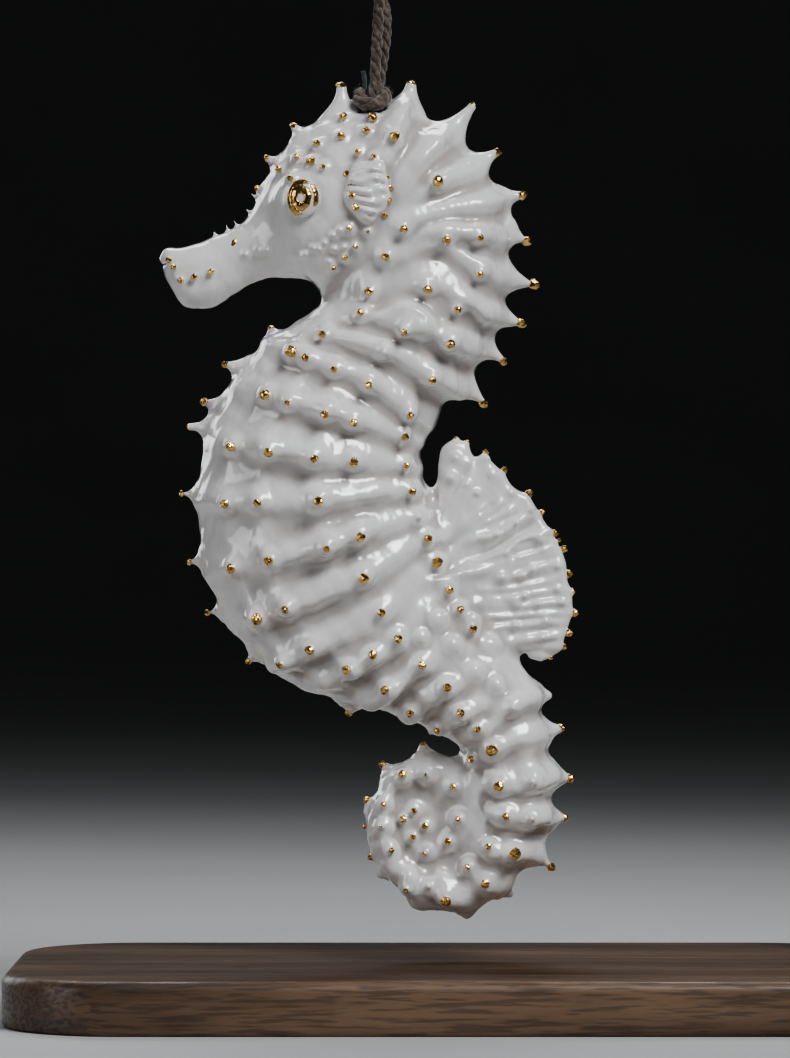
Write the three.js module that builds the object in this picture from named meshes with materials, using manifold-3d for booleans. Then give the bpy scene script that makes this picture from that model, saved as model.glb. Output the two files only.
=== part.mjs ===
// A glazed porcelain seahorse ornament with gold lustre dots, hanging by a doubled twisted cord from
// the hook of its display stand. Millimetres, +Z up. The origin is the middle of the stand's
// underside; the seahorse looks along -X and is the same on its left (-Y) and right (+Y) sides.
//
// The whole animal is one sweep of cross-sections. Each row gives the two ends of a section in the
// plane y = 0: its front end (jaw, throat, belly, inside of the tail) and its back end (brow, crown,
// nape, back, outside of the tail). Whole rows lie on the raised rings, half rows in the hollows.

import * as THREE from 'three';
import { mergeVertices } from 'three/addons/utils/BufferGeometryUtils.js';
import Module from 'manifold-3d';

const wasm = await Module();
wasm.setup();

// ---------------------------------------------------------------------------------------------
// Driving dimensions
// ---------------------------------------------------------------------------------------------

const GAP = 0.3;                  // clearance left between neighbouring solids
const SECTION_POINTS = 12;        // points round one section of the body
const RING_RELIEF = 0.28;         // rise of a ring above, and drop of a hollow below, the mean skin
const BURY = 1.0;                 // how far a spine or wart reaches down into the body
const SPINE_SIDES = 5;

// Section rows: front x, front z, back x, back z, half thickness in y, widest place (0 front, 1 back).
const SNOUT_AND_HEAD_ROWS = [
  [-32.7, 84.8, -33.0, 86.0, 0.8, 0.5],
  [-31.6, 82.4, -32.4, 87.0, 2.0, 0.5],
  [-30.1, 80.5, -31.0, 87.2, 2.8, 0.5],
  [-27.2, 80.3, -28.9, 87.6, 3.0, 0.5],
  [-24.2, 82.0, -26.2, 88.6, 2.7, 0.5],
  [-21.7, 83.5, -23.9, 89.9, 2.9, 0.5],
  [-19.0, 83.8, -22.5, 91.5, 3.7, 0.46],
  [-16.5, 83.6, -21.4, 93.7, 4.9, 0.42],
  [-15.7, 83.1, -20.1, 96.4, 5.7, 0.42],
  [-15.3, 82.7, -18.0, 99.4, 6.3, 0.42],
  [-14.9, 82.2, -15.2, 101.4, 6.7, 0.42],
  [-14.8, 81.9, -12.4, 102.5, 6.9, 0.44],
  [-14.8, 81.7, -8.9, 102.9, 7.0, 0.45],
  [-14.8, 81.6, -5.0, 102.7, 7.0, 0.46],
];
const NECK_ROWS = [
  [-14.8, 81.5, 0.2, 100.1, 6.8, 0.49],
  [-14.9, 81.4, 3.8, 96.7, 6.8, 0.5],
  [-15.0, 81.3, 6.4, 92.9, 6.8, 0.5],
  [-15.1, 81.1, 7.2, 88.0, 6.8, 0.5],
  [-15.2, 80.8, 7.0, 83.1, 6.9, 0.5],
  [-15.9, 80.2, 6.0, 79.2, 7.0, 0.5],
  [-17.0, 79.3, 3.9, 75.0, 7.2, 0.5],
  [-19.3, 78.1, 1.0, 70.5, 7.6, 0.5],
];
const TRUNK_ROWS = [
  [-22.2, 76.2, -1.4, 67.1, 8.1, 0.5],
  [-25.8, 72.2, -2.9, 64.6, 8.6, 0.5],
  [-28.2, 66.8, -3.1, 62.2, 8.9, 0.5],
  [-29.0, 60.0, -2.5, 59.4, 9.1, 0.5],
  [-28.4, 52.2, -1.6, 56.6, 9.1, 0.5],
  [-26.5, 46.4, -0.7, 53.7, 8.9, 0.5],
  [-22.8, 41.2, 0.4, 50.8, 8.4, 0.5],
  [-17.4, 37.1, 1.9, 47.9, 7.8, 0.5],
  [-11.4, 35.1, 3.8, 45.1, 7.1, 0.5],
  [-6.6, 34.0, 6.0, 42.6, 6.5, 0.5],
];
const TAIL_ROWS = [
  [-2.1, 32.2, 8.2, 39.9, 6.0, 0.5],
  [0.7, 30.6, 10.1, 36.2, 5.6, 0.5],
  [2.0, 28.5, 11.0, 32.2, 5.2, 0.5],
  [2.5, 25.9, 11.7, 26.8, 4.8, 0.5],
  [2.2, 23.7, 11.4, 22.3, 4.5, 0.5],
  [1.7, 21.6, 9.8, 17.9, 4.2, 0.5],
];

// The coil winds in round a centre: angle (degrees, 0 along +X), radius of the tail's inside and
// of its outside there, half thickness. Each turn lies against the one before, and the tip ends
// in the middle.
const COIL_CENTRE = [-2.7, 20.8];
const COIL_KNOTS = [
  [-37, 4.5, 11.3, 4.0],
  [-64, 4.05, 10.3, 3.7],
  [-100, 3.5, 8.7, 3.4],
  [-137, 3.1, 6.85, 3.2],
  [-160, 3.05, 6.4, 3.1],
  [-185, 3.3, 6.25, 3.0],
  [-209, 4.05, 6.9, 2.9],
  [-237, 4.8, 8.2, 2.8],
  [-268, 4.6, 8.9, 2.8],
  [-300, 3.3, 8.9, 2.8],
  [-325, 2.1, 6.8, 2.7],
  [-350, 1.5, 5.6, 2.6],
  [-380, 1.2, 4.9, 2.55],
  [-410, 1.1, 4.3, 2.5],
  [-445, 1.0, 3.7, 2.4],
  [-480, 0.9, 3.2, 2.3],
  [-520, 0.9, 3.05, 2.2],
  [-550, 1.1, 3.4, 2.1],
  [-575, 1.4, 4.0, 2.0],
  [-600, 1.7, 4.2, 1.9],
  [-625, 1.5, 3.8, 1.8],
  [-655, 0.9, 3.0, 1.7],
  [-690, 0.1, 2.0, 1.6],
  [-730, -0.7, 1.2, 1.5],
];

// Spines along the outline: row, tip x, tip z, foot radius, tip radius.
const BROW_SPINES = [
  [7.1, -21.9, 93.9, 0.6, 0.15],
  [8.2, -20.9, 97.4, 1.0, 0.2],
  [9.3, -17.9, 101.1, 1.3, 0.3],
];
const CORONET_SPINES = [
  [11, -12.4, 105.8, 1.9, 0.55],
  [13, -4.4, 106.0, 2.2, 0.45],
  [14, 2.6, 103.5, 2.2, 0.3],
];
const NAPE_SPINES = [
  [15, 5.5, 98.1, 1.7, 0.3],
  [16, 8.4, 93.2, 1.8, 0.3],
  [17, 8.9, 87.9, 1.7, 0.3],
  [18, 9.9, 82.9, 1.9, 0.35],
  [19, 8.3, 78.6, 1.7, 0.35],
  [20, 6.2, 74.2, 1.7, 0.35],
  [21, 3.9, 69.3, 1.6, 0.3],
];
const CHEST_SPINES = [
  [21.4, -20.2, 77.9, 0.7, 0.25],
  [22.9, -25.8, 73.7, 0.8, 0.25],
  [23.6, -27.9, 69.5, 0.9, 0.25],
  [24, -29.6, 66.8, 0.9, 0.25],
  [25.1, -30.4, 59.2, 1.3, 0.2],
];
const BELLY_SPINES = [
  [26.1, -29.6, 51.4, 1.3, 0.2],
  [27.1, -27.6, 45.6, 1.3, 0.2],
  [28.1, -23.0, 40.1, 1.2, 0.2],
  [30, -11.6, 34.1, 1.1, 0.25],
];
const TAIL_SPINES = [
  [33, 11.4, 36.2, 1.3, 0.3],
  [34, 12.7, 32.5, 1.5, 0.3],
  [35, 13.8, 26.8, 1.6, 0.3],
];
const COIL_SPINES = [
  [36.05, 13.1, 22.3, 1.5, 0.3],
  [37, 11.6, 16.6, 1.5, 0.3],
  [38, 7.0, 13.4, 1.4, 0.3],
  [39, 2.0, 11.0, 1.4, 0.3],
  [40, -4.3, 12.2, 1.1, 0.3],
  [41, -8.3, 15.6, 0.9, 0.25],
  [41.8, -9.1, 17.8, 0.8, 0.25],
  [42.8, -9.7, 20.6, 0.9, 0.25],
  [44, -9.6, 24.3, 0.9, 0.25],
  [45, -7.6, 28.4, 1.0, 0.25],
  [46, -3.1, 30.6, 1.0, 0.25],
];

// Warts on the flanks stand where the long ridges cross the rings: fractions from front to back.
const NECK_WART_PLACES = [0.45, 0.8];
const TRUNK_WART_PLACES = [0.16, 0.5, 0.9];
const TAIL_WART_PLACES = [0.32, 0.72];
const COIL_WART_PLACES = [0.5];
const WART = { height: 0.8, radius: 1.05, sides: 4 };
const SHOULDER_WART = { row: 20, place: 0.55, height: 1.5, radius: 2.2, sides: 6 };

// Each eye is a low dome on the cheek.
const EYE = { x: -16.9, z: 92.8, radius: 2.1, rise: 1.3, bury: 1.2, sides: 14 };

// Each pectoral fin is an oval of ribs lying on the cheek.
const PECTORAL = {
  x: -9.4, z: 93.7, halfWidth: 2.6, halfHeight: 3.8, rise: 1.1, bury: 1.5, ribs: 5, rib: 0.18,
};

// Dorsal fin: its rays run from a root inside the back to their tips along the free edge.
const FIN_ROOT = [[-2.7, 60.0], [-3.3, 57], [-2.3, 53.2], [-0.4, 49.5], [2.2, 45.8], [5.2, 42.2]];
const FIN_TIPS = [
  [-1.2, 63.2], [0.6, 65.2], [1.9, 65.0], [3.9, 64.0], [6.2, 62.0], [8.9, 59.3],
  [10.3, 57.0], [11.9, 54.7], [12.9, 52.8], [13.3, 50.0], [13.8, 48.0], [14.1, 45.6],
  [13.3, 43.4], [13.0, 41.7], [11.5, 40.5], [9.0, 41.0],
];
const FIN = { rootHalf: 3.0, edgeHalf: 0.7, rib: 0.22, scallop: 0.5, rows: 3 };

// Hanging cord: a bar spans the two coronet spines, and the cord is hitched round it.
const BAR = { x: -8.9, z: 103.4, radius: 0.72, halfLength: 3.3 };
const HITCH = { inner: 0.9, outer: 2.0, halfLength: 1.9, clearance: 0.2 };
const CORD_DIAMETER = 1.15;
const CORD_SIDES = 8;
const CORD_STEPS = 26;

// The cord's middle line: up the left leg from the hitch, over the hook and down the right leg.
const CORD_ROUTE = [
  [-8.6, -0.5, 105.75], [-8.5, -0.46, 108], [-8.35, -0.45, 110.5], [-8.2, -0.6, 113],
  [-8.1, -1.1, 115], [-7.75, -1.8, 117], [-7.1, -2.55, 119.5], [-7.22, -2.2, 120.85],
  [-7.55, -1.27, 121.84], [-8, 0, 122.2], [-8.45, 1.27, 121.84], [-8.78, 2.2, 120.85],
  [-8.9, 2.55, 119.5], [-8.25, 1.8, 117], [-7.6, 1.1, 115], [-7.3, 0.6, 113],
  [-7.45, 0.45, 110.5], [-7.8, 0.52, 108], [-8.1, 0.6, 105.75],
];

// Stand: a flat foot with round corners, and a round rod that rises beside the ornament and hooks over it.
const FOOT = { halfX: 50, halfY: 28, height: 6, bevel: 1.2, corner: 14, cornerSteps: 5 };
const SOCKET = { radius: 2.3, floor: 2.0 };
const COLLAR = { radius: 3.6, height: 3.2, sides: 16 };
const ROD = { radius: 2, sides: 8, steps: 36 };
const POST = { x: 44.2, y: 18 };
const HOOK = { x: -8, y: 0, z: 119.5 };

// The rod's middle line: share of the way from the post to the hook, and height.
const ROD_ROUTE = [
  [0, SOCKET.floor + GAP], [0, 45], [0, 85], [0, 107], [0.02, 115.6], [0.1, 121.8], [0.26, 125.4],
  [0.5, 126.4], [0.72, 125.2], [0.86, 122.4], [0.94, 120.3], [1, HOOK.z], [1.06, 120.3],
  [1.105, 122.6], [1.125, 125.6],
];

// ---------------------------------------------------------------------------------------------
// Materials
// ---------------------------------------------------------------------------------------------

const porcelain = new THREE.MeshStandardMaterial({ color: 0xe9e8e4, roughness: 0.15, metalness: 0 });
const goldLustre = new THREE.MeshStandardMaterial({ color: 0xc8963c, roughness: 0.25, metalness: 1 });
const cordFibre = new THREE.MeshStandardMaterial({ color: 0x6f5d4e, roughness: 0.8, metalness: 0 });
const darkWood = new THREE.MeshStandardMaterial({ color: 0x3a281c, roughness: 0.5, metalness: 0 });
const darkSteel = new THREE.MeshStandardMaterial({ color: 0x35363a, roughness: 0.4, metalness: 1 });

// ---------------------------------------------------------------------------------------------
// Solids and geometries
// ---------------------------------------------------------------------------------------------

function signedVolume(points, index) {
  let sum = 0;
  for (let i = 0; i < index.length; i += 3) {
    sum += points[index[i]].dot(points[index[i + 1]].clone().cross(points[index[i + 2]]));
  }
  return sum / 6;
}

// A closed geometry from points and triangles, turned to face outwards.
function closedGeometry(points, index) {
  const facing = signedVolume(points, index) < 0 ? index.slice().reverse() : index;
  const geometry = new THREE.BufferGeometry().setFromPoints(points);
  geometry.setIndex(facing);
  return geometry;
}

// Skins a stack of rings of equal length, with a flat fan across the first and the last.
function loft(rings) {
  const count = rings[0].length;
  const points = rings.flat();
  const index = [];
  for (let r = 0; r < rings.length - 1; r++) {
    for (let i = 0; i < count; i++) {
      const next = (i + 1) % count;
      const a = r * count + i;
      const b = r * count + next;
      const c = (r + 1) * count + next;
      const d = (r + 1) * count + i;
      index.push(a, b, c, a, c, d);
    }
  }
  const last = (rings.length - 1) * count;
  for (let i = 1; i < count - 1; i++) {
    index.push(0, i + 1, i);
    index.push(last, last + i, last + i + 1);
  }
  return closedGeometry(points, index);
}

function solid(geometry) {
  const bare = geometry.clone();
  bare.deleteAttribute('normal');
  bare.deleteAttribute('uv');
  const merged = mergeVertices(bare, 1e-5);
  return new wasm.Manifold(new wasm.Mesh({
    numProp: 3,
    vertProperties: new Float32Array(merged.attributes.position.array),
    triVerts: new Uint32Array(merged.index.array),
  }));
}

function joinAll(solids) {
  return solids.reduce((whole, piece) => whole.add(piece));
}

function meshOf(name, shape, material) {
  const raw = shape.getMesh();
  const geometry = new THREE.BufferGeometry();
  geometry.setAttribute('position', new THREE.BufferAttribute(new Float32Array(raw.vertProperties), 3));
  geometry.setIndex(new THREE.BufferAttribute(new Uint32Array(raw.triVerts), 1));
  const mesh = new THREE.Mesh(geometry, material);
  mesh.name = name;
  return mesh;
}

// Turns a geometry that stands along +Y to stand along a direction, at a position.
function placed(geometry, position, direction) {
  const upright = new THREE.Vector3(0, 1, 0);
  const turn = new THREE.Quaternion().setFromUnitVectors(upright, direction.clone().normalize());
  return geometry.applyQuaternion(turn).translate(position.x, position.y, position.z);
}

// ---------------------------------------------------------------------------------------------
// The body's rows
// ---------------------------------------------------------------------------------------------

function coilRow([degrees, inner, outer, halfDepth]) {
  const angle = THREE.MathUtils.degToRad(degrees);
  const at = (r) => [COIL_CENTRE[0] + r * Math.cos(angle), COIL_CENTRE[1] + r * Math.sin(angle)];
  return [...at(inner), ...at(outer), halfDepth, 0.5];
}

const ROWS = [
  ...SNOUT_AND_HEAD_ROWS, ...NECK_ROWS, ...TRUNK_ROWS, ...TAIL_ROWS, ...COIL_KNOTS.map(coilRow),
];
const LAST_ROW = ROWS.length - 1;
const FIRST_RINGED_ROW = SNOUT_AND_HEAD_ROWS.length;
const FIRST_COIL_ROW = ROWS.length - COIL_KNOTS.length;

function catmullRom(a, b, c, d, t) {
  const square = 2 * a - 5 * b + 4 * c - d;
  const cube = 3 * b - a - 3 * c + d;
  return 0.5 * (2 * b + (c - a) * t + square * t * t + cube * t ** 3);
}

function rowAt(place) {
  const i = Math.min(Math.floor(place), LAST_ROW - 1);
  const t = place - i;
  const near = [i - 1, i, i + 1, i + 2].map((k) => ROWS[THREE.MathUtils.clamp(k, 0, LAST_ROW)]);
  return ROWS[0].map((_, column) => catmullRom(...near.map((row) => row[column]), t));
}

function relief(place) {
  if (place < FIRST_RINGED_ROW - 0.5 || place > FIRST_COIL_ROW + 0.5) return 0;
  return RING_RELIEF * Math.cos(2 * Math.PI * place);
}

// A point of the skin: place along the body, angle round the section (0 front, PI back), y side.
function skinPoint(place, angle, grow = 0) {
  const [frontX, frontZ, backX, backZ, halfDepth, widest] = rowAt(place);
  const front = new THREE.Vector3(frontX, 0, frontZ);
  const back = new THREE.Vector3(backX, 0, backZ);
  const width = front.distanceTo(back);
  const extra = grow + relief(place);
  const across = Math.pow((1 - Math.cos(angle)) / 2, Math.log(widest) / Math.log(0.5));
  const stretched = (across - 0.5) * (width + 2 * extra) / width + 0.5;
  const point = front.lerp(back, stretched);
  point.y = (halfDepth + extra) * Math.sin(angle);
  return point;
}

function section(place, grow = 0) {
  const step = (2 * Math.PI) / SECTION_POINTS;
  return Array.from({ length: SECTION_POINTS }, (_, i) => skinPoint(place, i * step, grow));
}

function bodyLoft(from, to, step, grow = 0) {
  const steps = Math.round((to - from) / step);
  return loft(Array.from({ length: steps + 1 }, (_, i) => section(from + ((to - from) * i) / steps, grow)));
}

// A block past one end of a length of body, which trims spines flush with the parting plane.
function endBlock(place, side, margin) {
  const [frontX, frontZ, backX, backZ, halfDepth] = rowAt(place);
  const across = new THREE.Vector3(backX - frontX, 0, backZ - frontZ);
  const width = across.length() + 2 * margin;
  const thickness = 4;
  const along = new THREE.Vector3(0, 1, 0).cross(across).normalize();
  const ahead = skinPoint(Math.min(place + 0.3, LAST_ROW), Math.PI / 2).sub(skinPoint(place, Math.PI / 2));
  if (along.dot(ahead) < 0) along.negate();
  const block = new THREE.BoxGeometry(width, 2 * halfDepth + 8, thickness);
  block.rotateY(-Math.atan2(across.z, across.x));
  const centre = new THREE.Vector3((frontX + backX) / 2, 0, (frontZ + backZ) / 2);
  centre.addScaledVector(along, side * (thickness / 2 - GAP / 2));
  return solid(block.translate(centre.x, 0, centre.z));
}

// ---------------------------------------------------------------------------------------------
// Spines and warts
// ---------------------------------------------------------------------------------------------

// A flared spike on a round foot: it stands along +Y from y = -BURY up to its height.
function spike(height, footRadius, tipRadius, sides) {
  const waist = tipRadius + 0.36 * (footRadius - tipRadius);
  const profile = [
    new THREE.Vector2(0, -BURY),
    new THREE.Vector2(0.6 * footRadius, -BURY),
    new THREE.Vector2(footRadius, -0.1),
    new THREE.Vector2(waist, 0.4 * height),
    new THREE.Vector2(tipRadius, height),
    new THREE.Vector2(0, height),
  ];
  return new THREE.LatheGeometry(profile, sides);
}

// Spines on the outline: angle 0 for the front, PI for the back.
function outlineSpines(list, angle) {
  return list.map(([row, tipX, tipZ, footRadius, tipRadius]) => {
    const root = skinPoint(row, angle);
    const out = new THREE.Vector3(tipX, 0, tipZ).sub(root);
    return solid(placed(spike(out.length(), footRadius, tipRadius, SPINE_SIDES), root, out));
  });
}

function angleOf(fraction) {
  return Math.acos(1 - 2 * fraction);
}

function skinNormal(place, angle) {
  const h = 0.02;
  const alongBody = skinPoint(place + h, angle).sub(skinPoint(place - h, angle));
  const round = skinPoint(place, angle + h).sub(skinPoint(place, angle - h));
  const normal = alongBody.cross(round).normalize();
  const [frontX, frontZ, backX, backZ] = rowAt(place);
  const middle = new THREE.Vector3((frontX + backX) / 2, 0, (frontZ + backZ) / 2);
  return normal.dot(skinPoint(place, angle).sub(middle)) < 0 ? normal.negate() : normal;
}

// The same wart on the left and the right flank.
function wartPair(row, fraction, { height, radius, sides } = WART) {
  return [-1, 1].map((side) => {
    const angle = side * angleOf(fraction);
    const cone = new THREE.ConeGeometry(radius, height + BURY, sides).translate(0, (height - BURY) / 2, 0);
    return solid(placed(cone, skinPoint(row, angle), skinNormal(row, angle)));
  });
}

function warts(fromRow, toRow, fractions) {
  const made = [];
  for (let row = fromRow; row <= toRow; row++) {
    for (const fraction of fractions) made.push(...wartPair(row, fraction));
  }
  return made;
}

// ---------------------------------------------------------------------------------------------
// Lengths of the body
// ---------------------------------------------------------------------------------------------

// One length of body between two parting planes, with the spines and warts that grow from it.
function bodyLength({
  from, to, step, grown, startMargin = 4, endMargin = 4, openStart = false, openEnd = false,
}) {
  let shape = joinAll([solid(bodyLoft(from, to, step)), ...grown]);
  if (!openStart) shape = shape.subtract(endBlock(from, -1, startMargin));
  if (!openEnd) shape = shape.subtract(endBlock(to, 1, endMargin));
  return shape;
}

// Parting planes, by row.
const SNOUT_END = 5.5;
const HEAD_END = 14.5;
const NECK_END = 21.5;
const CHEST_END = 25.5;
const TRUNK_END = 30.5;
const TAIL_END = 35.5;
const COIL_PARTING = 46.5;
const INNER_TURN_END = 54;        // where the tip's own turn begins

const HEAD_STEP = 0.75;           // rows between sections, where the skin has no rings
const RING_STEP = 0.5;            // a ring and a hollow for each row
const COIL_MARGIN = 0.15;         // how far a parting cut reaches past a turn of the coil

function makeSnout() {
  const slit = new THREE.BoxGeometry(3.4, 8, 0.45).rotateY(0.25).translate(-32.4, 0, 84.3);
  const shape = bodyLength({ from: 0, to: SNOUT_END, step: RING_STEP, grown: [], openStart: true });
  return shape.subtract(solid(slit));
}

// A ring round the bar, along X.
function ringOnBar(inner, outer, halfLength, sides) {
  const profile = [
    new THREE.Vector2(inner, -halfLength),
    new THREE.Vector2(outer, -halfLength),
    new THREE.Vector2(outer, halfLength),
    new THREE.Vector2(inner, halfLength),
    new THREE.Vector2(inner, -halfLength),
  ];
  return solid(new THREE.LatheGeometry(profile, sides).rotateZ(Math.PI / 2).translate(BAR.x, 0, BAR.z));
}

// The crown has a slot for the hitch, crossed by the bar.
function makeHead() {
  const bar = new THREE.CylinderGeometry(BAR.radius, BAR.radius, 2 * BAR.halfLength, 8);
  bar.rotateZ(Math.PI / 2).translate(BAR.x, 0, BAR.z);
  const slot = ringOnBar(BAR.radius, HITCH.outer + HITCH.clearance, HITCH.halfLength + HITCH.clearance, 14);
  const shape = bodyLength({
    from: SNOUT_END,
    to: HEAD_END,
    step: HEAD_STEP,
    grown: [...outlineSpines(BROW_SPINES, Math.PI), ...outlineSpines(CORONET_SPINES, Math.PI), solid(bar)],
  });
  return shape.subtract(slot);
}

function makeNeck() {
  return bodyLength({
    from: HEAD_END,
    to: NECK_END,
    step: RING_STEP,
    grown: [
      ...outlineSpines(NAPE_SPINES, Math.PI),
      ...warts(16, 21, NECK_WART_PLACES),
      ...wartPair(SHOULDER_WART.row, SHOULDER_WART.place, SHOULDER_WART),
    ],
  });
}

function makeChest() {
  return bodyLength({
    from: NECK_END,
    to: CHEST_END,
    step: RING_STEP,
    grown: [...outlineSpines(CHEST_SPINES, 0), ...warts(22, 25, TRUNK_WART_PLACES)],
  });
}

function makeBelly() {
  return bodyLength({
    from: CHEST_END,
    to: TRUNK_END,
    step: RING_STEP,
    grown: [...outlineSpines(BELLY_SPINES, 0), ...warts(26, 30, TRUNK_WART_PLACES)],
  });
}

function makeTail() {
  return bodyLength({
    from: TRUNK_END,
    to: TAIL_END,
    step: RING_STEP,
    grown: [...outlineSpines(TAIL_SPINES, Math.PI), ...warts(31, 35, TAIL_WART_PLACES)],
    endMargin: COIL_MARGIN,
  });
}

function makeOuterCoil() {
  return bodyLength({
    from: TAIL_END,
    to: COIL_PARTING,
    step: RING_STEP,
    grown: [...outlineSpines(COIL_SPINES, Math.PI), ...warts(36, 46, COIL_WART_PLACES)],
    startMargin: COIL_MARGIN,
    endMargin: COIL_MARGIN,
  });
}

// The inner turn and the tip lie against each other, and fill the middle of the outer turn.
function makeInnerCoil() {
  const shape = bodyLength({
    from: COIL_PARTING,
    to: INNER_TURN_END,
    step: RING_STEP,
    grown: [solid(bodyLoft(INNER_TURN_END - 1, LAST_ROW, RING_STEP))],
    startMargin: COIL_MARGIN,
    openEnd: true,
  });
  return shape.subtract(solid(bodyLoft(CHEST_END, COIL_PARTING, RING_STEP, GAP)));
}

// ---------------------------------------------------------------------------------------------
// Fins and eyes
// ---------------------------------------------------------------------------------------------

// A closed plate from a grid: pointAt(u, v, side) with u and v from 0 to 1 and side -1 or 1.
function plate(columns, rows, pointAt) {
  const points = [];
  const index = [];
  for (const side of [-1, 1]) {
    for (let c = 0; c <= columns; c++) {
      for (let r = 0; r <= rows; r++) points.push(pointAt(c / columns, r / rows, side));
    }
  }
  const half = points.length / 2;
  const at = (c, r) => c * (rows + 1) + r;
  const quad = (a, b, c, d) => index.push(a, b, c, a, c, d);
  for (let c = 0; c < columns; c++) {
    for (let r = 0; r < rows; r++) {
      quad(at(c, r), at(c, r + 1), at(c + 1, r + 1), at(c + 1, r));
      quad(half + at(c, r), half + at(c + 1, r), half + at(c + 1, r + 1), half + at(c, r + 1));
    }
    quad(at(c, 0), at(c + 1, 0), half + at(c + 1, 0), half + at(c, 0));
    quad(at(c + 1, rows), at(c, rows), half + at(c, rows), half + at(c + 1, rows));
  }
  for (let r = 0; r < rows; r++) {
    quad(at(0, r + 1), at(0, r), half + at(0, r), half + at(0, r + 1));
    quad(at(columns, r), at(columns, r + 1), half + at(columns, r + 1), half + at(columns, r));
  }
  return solid(closedGeometry(points, index));
}

function planeCurve(list) {
  return new THREE.CatmullRomCurve3(list.map(([x, z]) => new THREE.Vector3(x, 0, z)), false, 'centripetal');
}

function makeDorsalFin() {
  const root = planeCurve(FIN_ROOT);
  const edge = planeCurve(FIN_TIPS);
  const gaps = FIN_TIPS.length - 1;
  const shape = plate(2 * gaps, FIN.rows, (u, v, side) => {
    const wave = Math.cos(2 * Math.PI * gaps * u);
    const start = root.getPoint(u);
    const ray = edge.getPoint(u).sub(start);
    const reach = v * (1 + ((wave - 1) * FIN.scallop * v) / (2 * ray.length()));
    const point = start.addScaledVector(ray, reach);
    point.y = side * (THREE.MathUtils.lerp(FIN.rootHalf, FIN.edgeHalf, Math.sqrt(v)) + wave * FIN.rib);
    return point;
  });
  return shape.subtract(solid(bodyLoft(23.5, 33.5, RING_STEP, GAP)));
}

// The place on the left flank of the head that lies at x, z.
function headSkinAt(x, z) {
  let best = new THREE.Vector3(x, 0, z);
  let bestDistance = Infinity;
  for (let place = 6; place <= 14; place += 0.1) {
    for (let angle = 0.4; angle <= 2.8; angle += 0.04) {
      const point = skinPoint(place, angle);
      const distance = Math.hypot(point.x - x, point.z - z);
      if (distance < bestDistance) {
        best = point;
        bestDistance = distance;
      }
    }
  }
  return best;
}

function onCheek(shape) {
  return shape.subtract(solid(bodyLoft(SNOUT_END, HEAD_END, HEAD_STEP, GAP)));
}

function makeEye(side) {
  const { radius, rise, bury } = EYE;
  const profile = [
    new THREE.Vector2(0, -bury),
    new THREE.Vector2(radius, -bury),
    new THREE.Vector2(radius, 0.35 * rise),
    new THREE.Vector2(0.85 * radius, 0.72 * rise),
    new THREE.Vector2(0.5 * radius, rise),
    new THREE.Vector2(0, rise),
  ];
  const dome = new THREE.LatheGeometry(profile, EYE.sides).rotateX(side > 0 ? 0 : Math.PI);
  return onCheek(solid(dome.translate(EYE.x, side * headSkinAt(EYE.x, EYE.z).y, EYE.z)));
}

function makePectoralFin(side) {
  const skin = headSkinAt(PECTORAL.x, PECTORAL.z).y;
  const { x, z, halfWidth, halfHeight, rise, bury, ribs, rib } = PECTORAL;
  const shape = plate(4, 2 * ribs, (u, v, face) => {
    const up = Math.sin(Math.PI * (v - 0.5));
    const out = Math.cos(Math.PI * (v - 0.5)) * 0.9 + 0.1;
    const across = Math.sin(Math.PI * (u - 0.5)) * out;
    const dome = rise * (1 - 0.6 * across * across - 0.3 * up * up);
    const crown = dome - rib * Math.cos(2 * Math.PI * ribs * v);
    const depth = face > 0 ? crown : -bury;
    return new THREE.Vector3(x + halfWidth * across, side * (skin + depth), z + halfHeight * up);
  });
  return onCheek(shape);
}

// ---------------------------------------------------------------------------------------------
// Cord and stand
// ---------------------------------------------------------------------------------------------

function tube(path, radius, sides, steps) {
  const circle = Array.from({ length: sides }, (_, i) => {
    const angle = (2 * Math.PI * i) / sides;
    return new THREE.Vector2(radius * Math.cos(angle), radius * Math.sin(angle));
  });
  const settings = { steps, extrudePath: path, bevelEnabled: false };
  return solid(new THREE.ExtrudeGeometry(new THREE.Shape(circle), settings));
}

function makeHitch() {
  return ringOnBar(HITCH.inner, HITCH.outer, HITCH.halfLength, 14);
}

function makeCord() {
  const path = new THREE.CatmullRomCurve3(CORD_ROUTE.map((point) => new THREE.Vector3(...point)));
  return tube(path, CORD_DIAMETER / 2, CORD_SIDES, CORD_STEPS);
}

function upright(radius, from, to, sides) {
  return new THREE.CylinderGeometry(radius, radius, to - from, sides).rotateX(Math.PI / 2).translate(
    POST.x, POST.y, (from + to) / 2,
  );
}

function makeFoot() {
  const { halfX, halfY, height, bevel, corner, cornerSteps } = FOOT;
  const outline = new THREE.Shape();
  const flatX = halfX - corner;
  const flatY = halfY - corner;
  const arc = corner - bevel;
  outline.absarc(flatX, flatY, arc, 0, Math.PI / 2);
  outline.absarc(-flatX, flatY, arc, Math.PI / 2, Math.PI);
  outline.absarc(-flatX, -flatY, arc, Math.PI, 1.5 * Math.PI);
  outline.absarc(flatX, -flatY, arc, 1.5 * Math.PI, 2 * Math.PI);
  const slab = new THREE.ExtrudeGeometry(outline, {
    depth: height - 2 * bevel,
    curveSegments: cornerSteps,
    bevelSize: bevel,
    bevelThickness: bevel,
    bevelSegments: 1,
  });
  const socket = solid(upright(SOCKET.radius, SOCKET.floor, height + 1, 12));
  return solid(slab.translate(0, 0, bevel)).subtract(socket);
}

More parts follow.
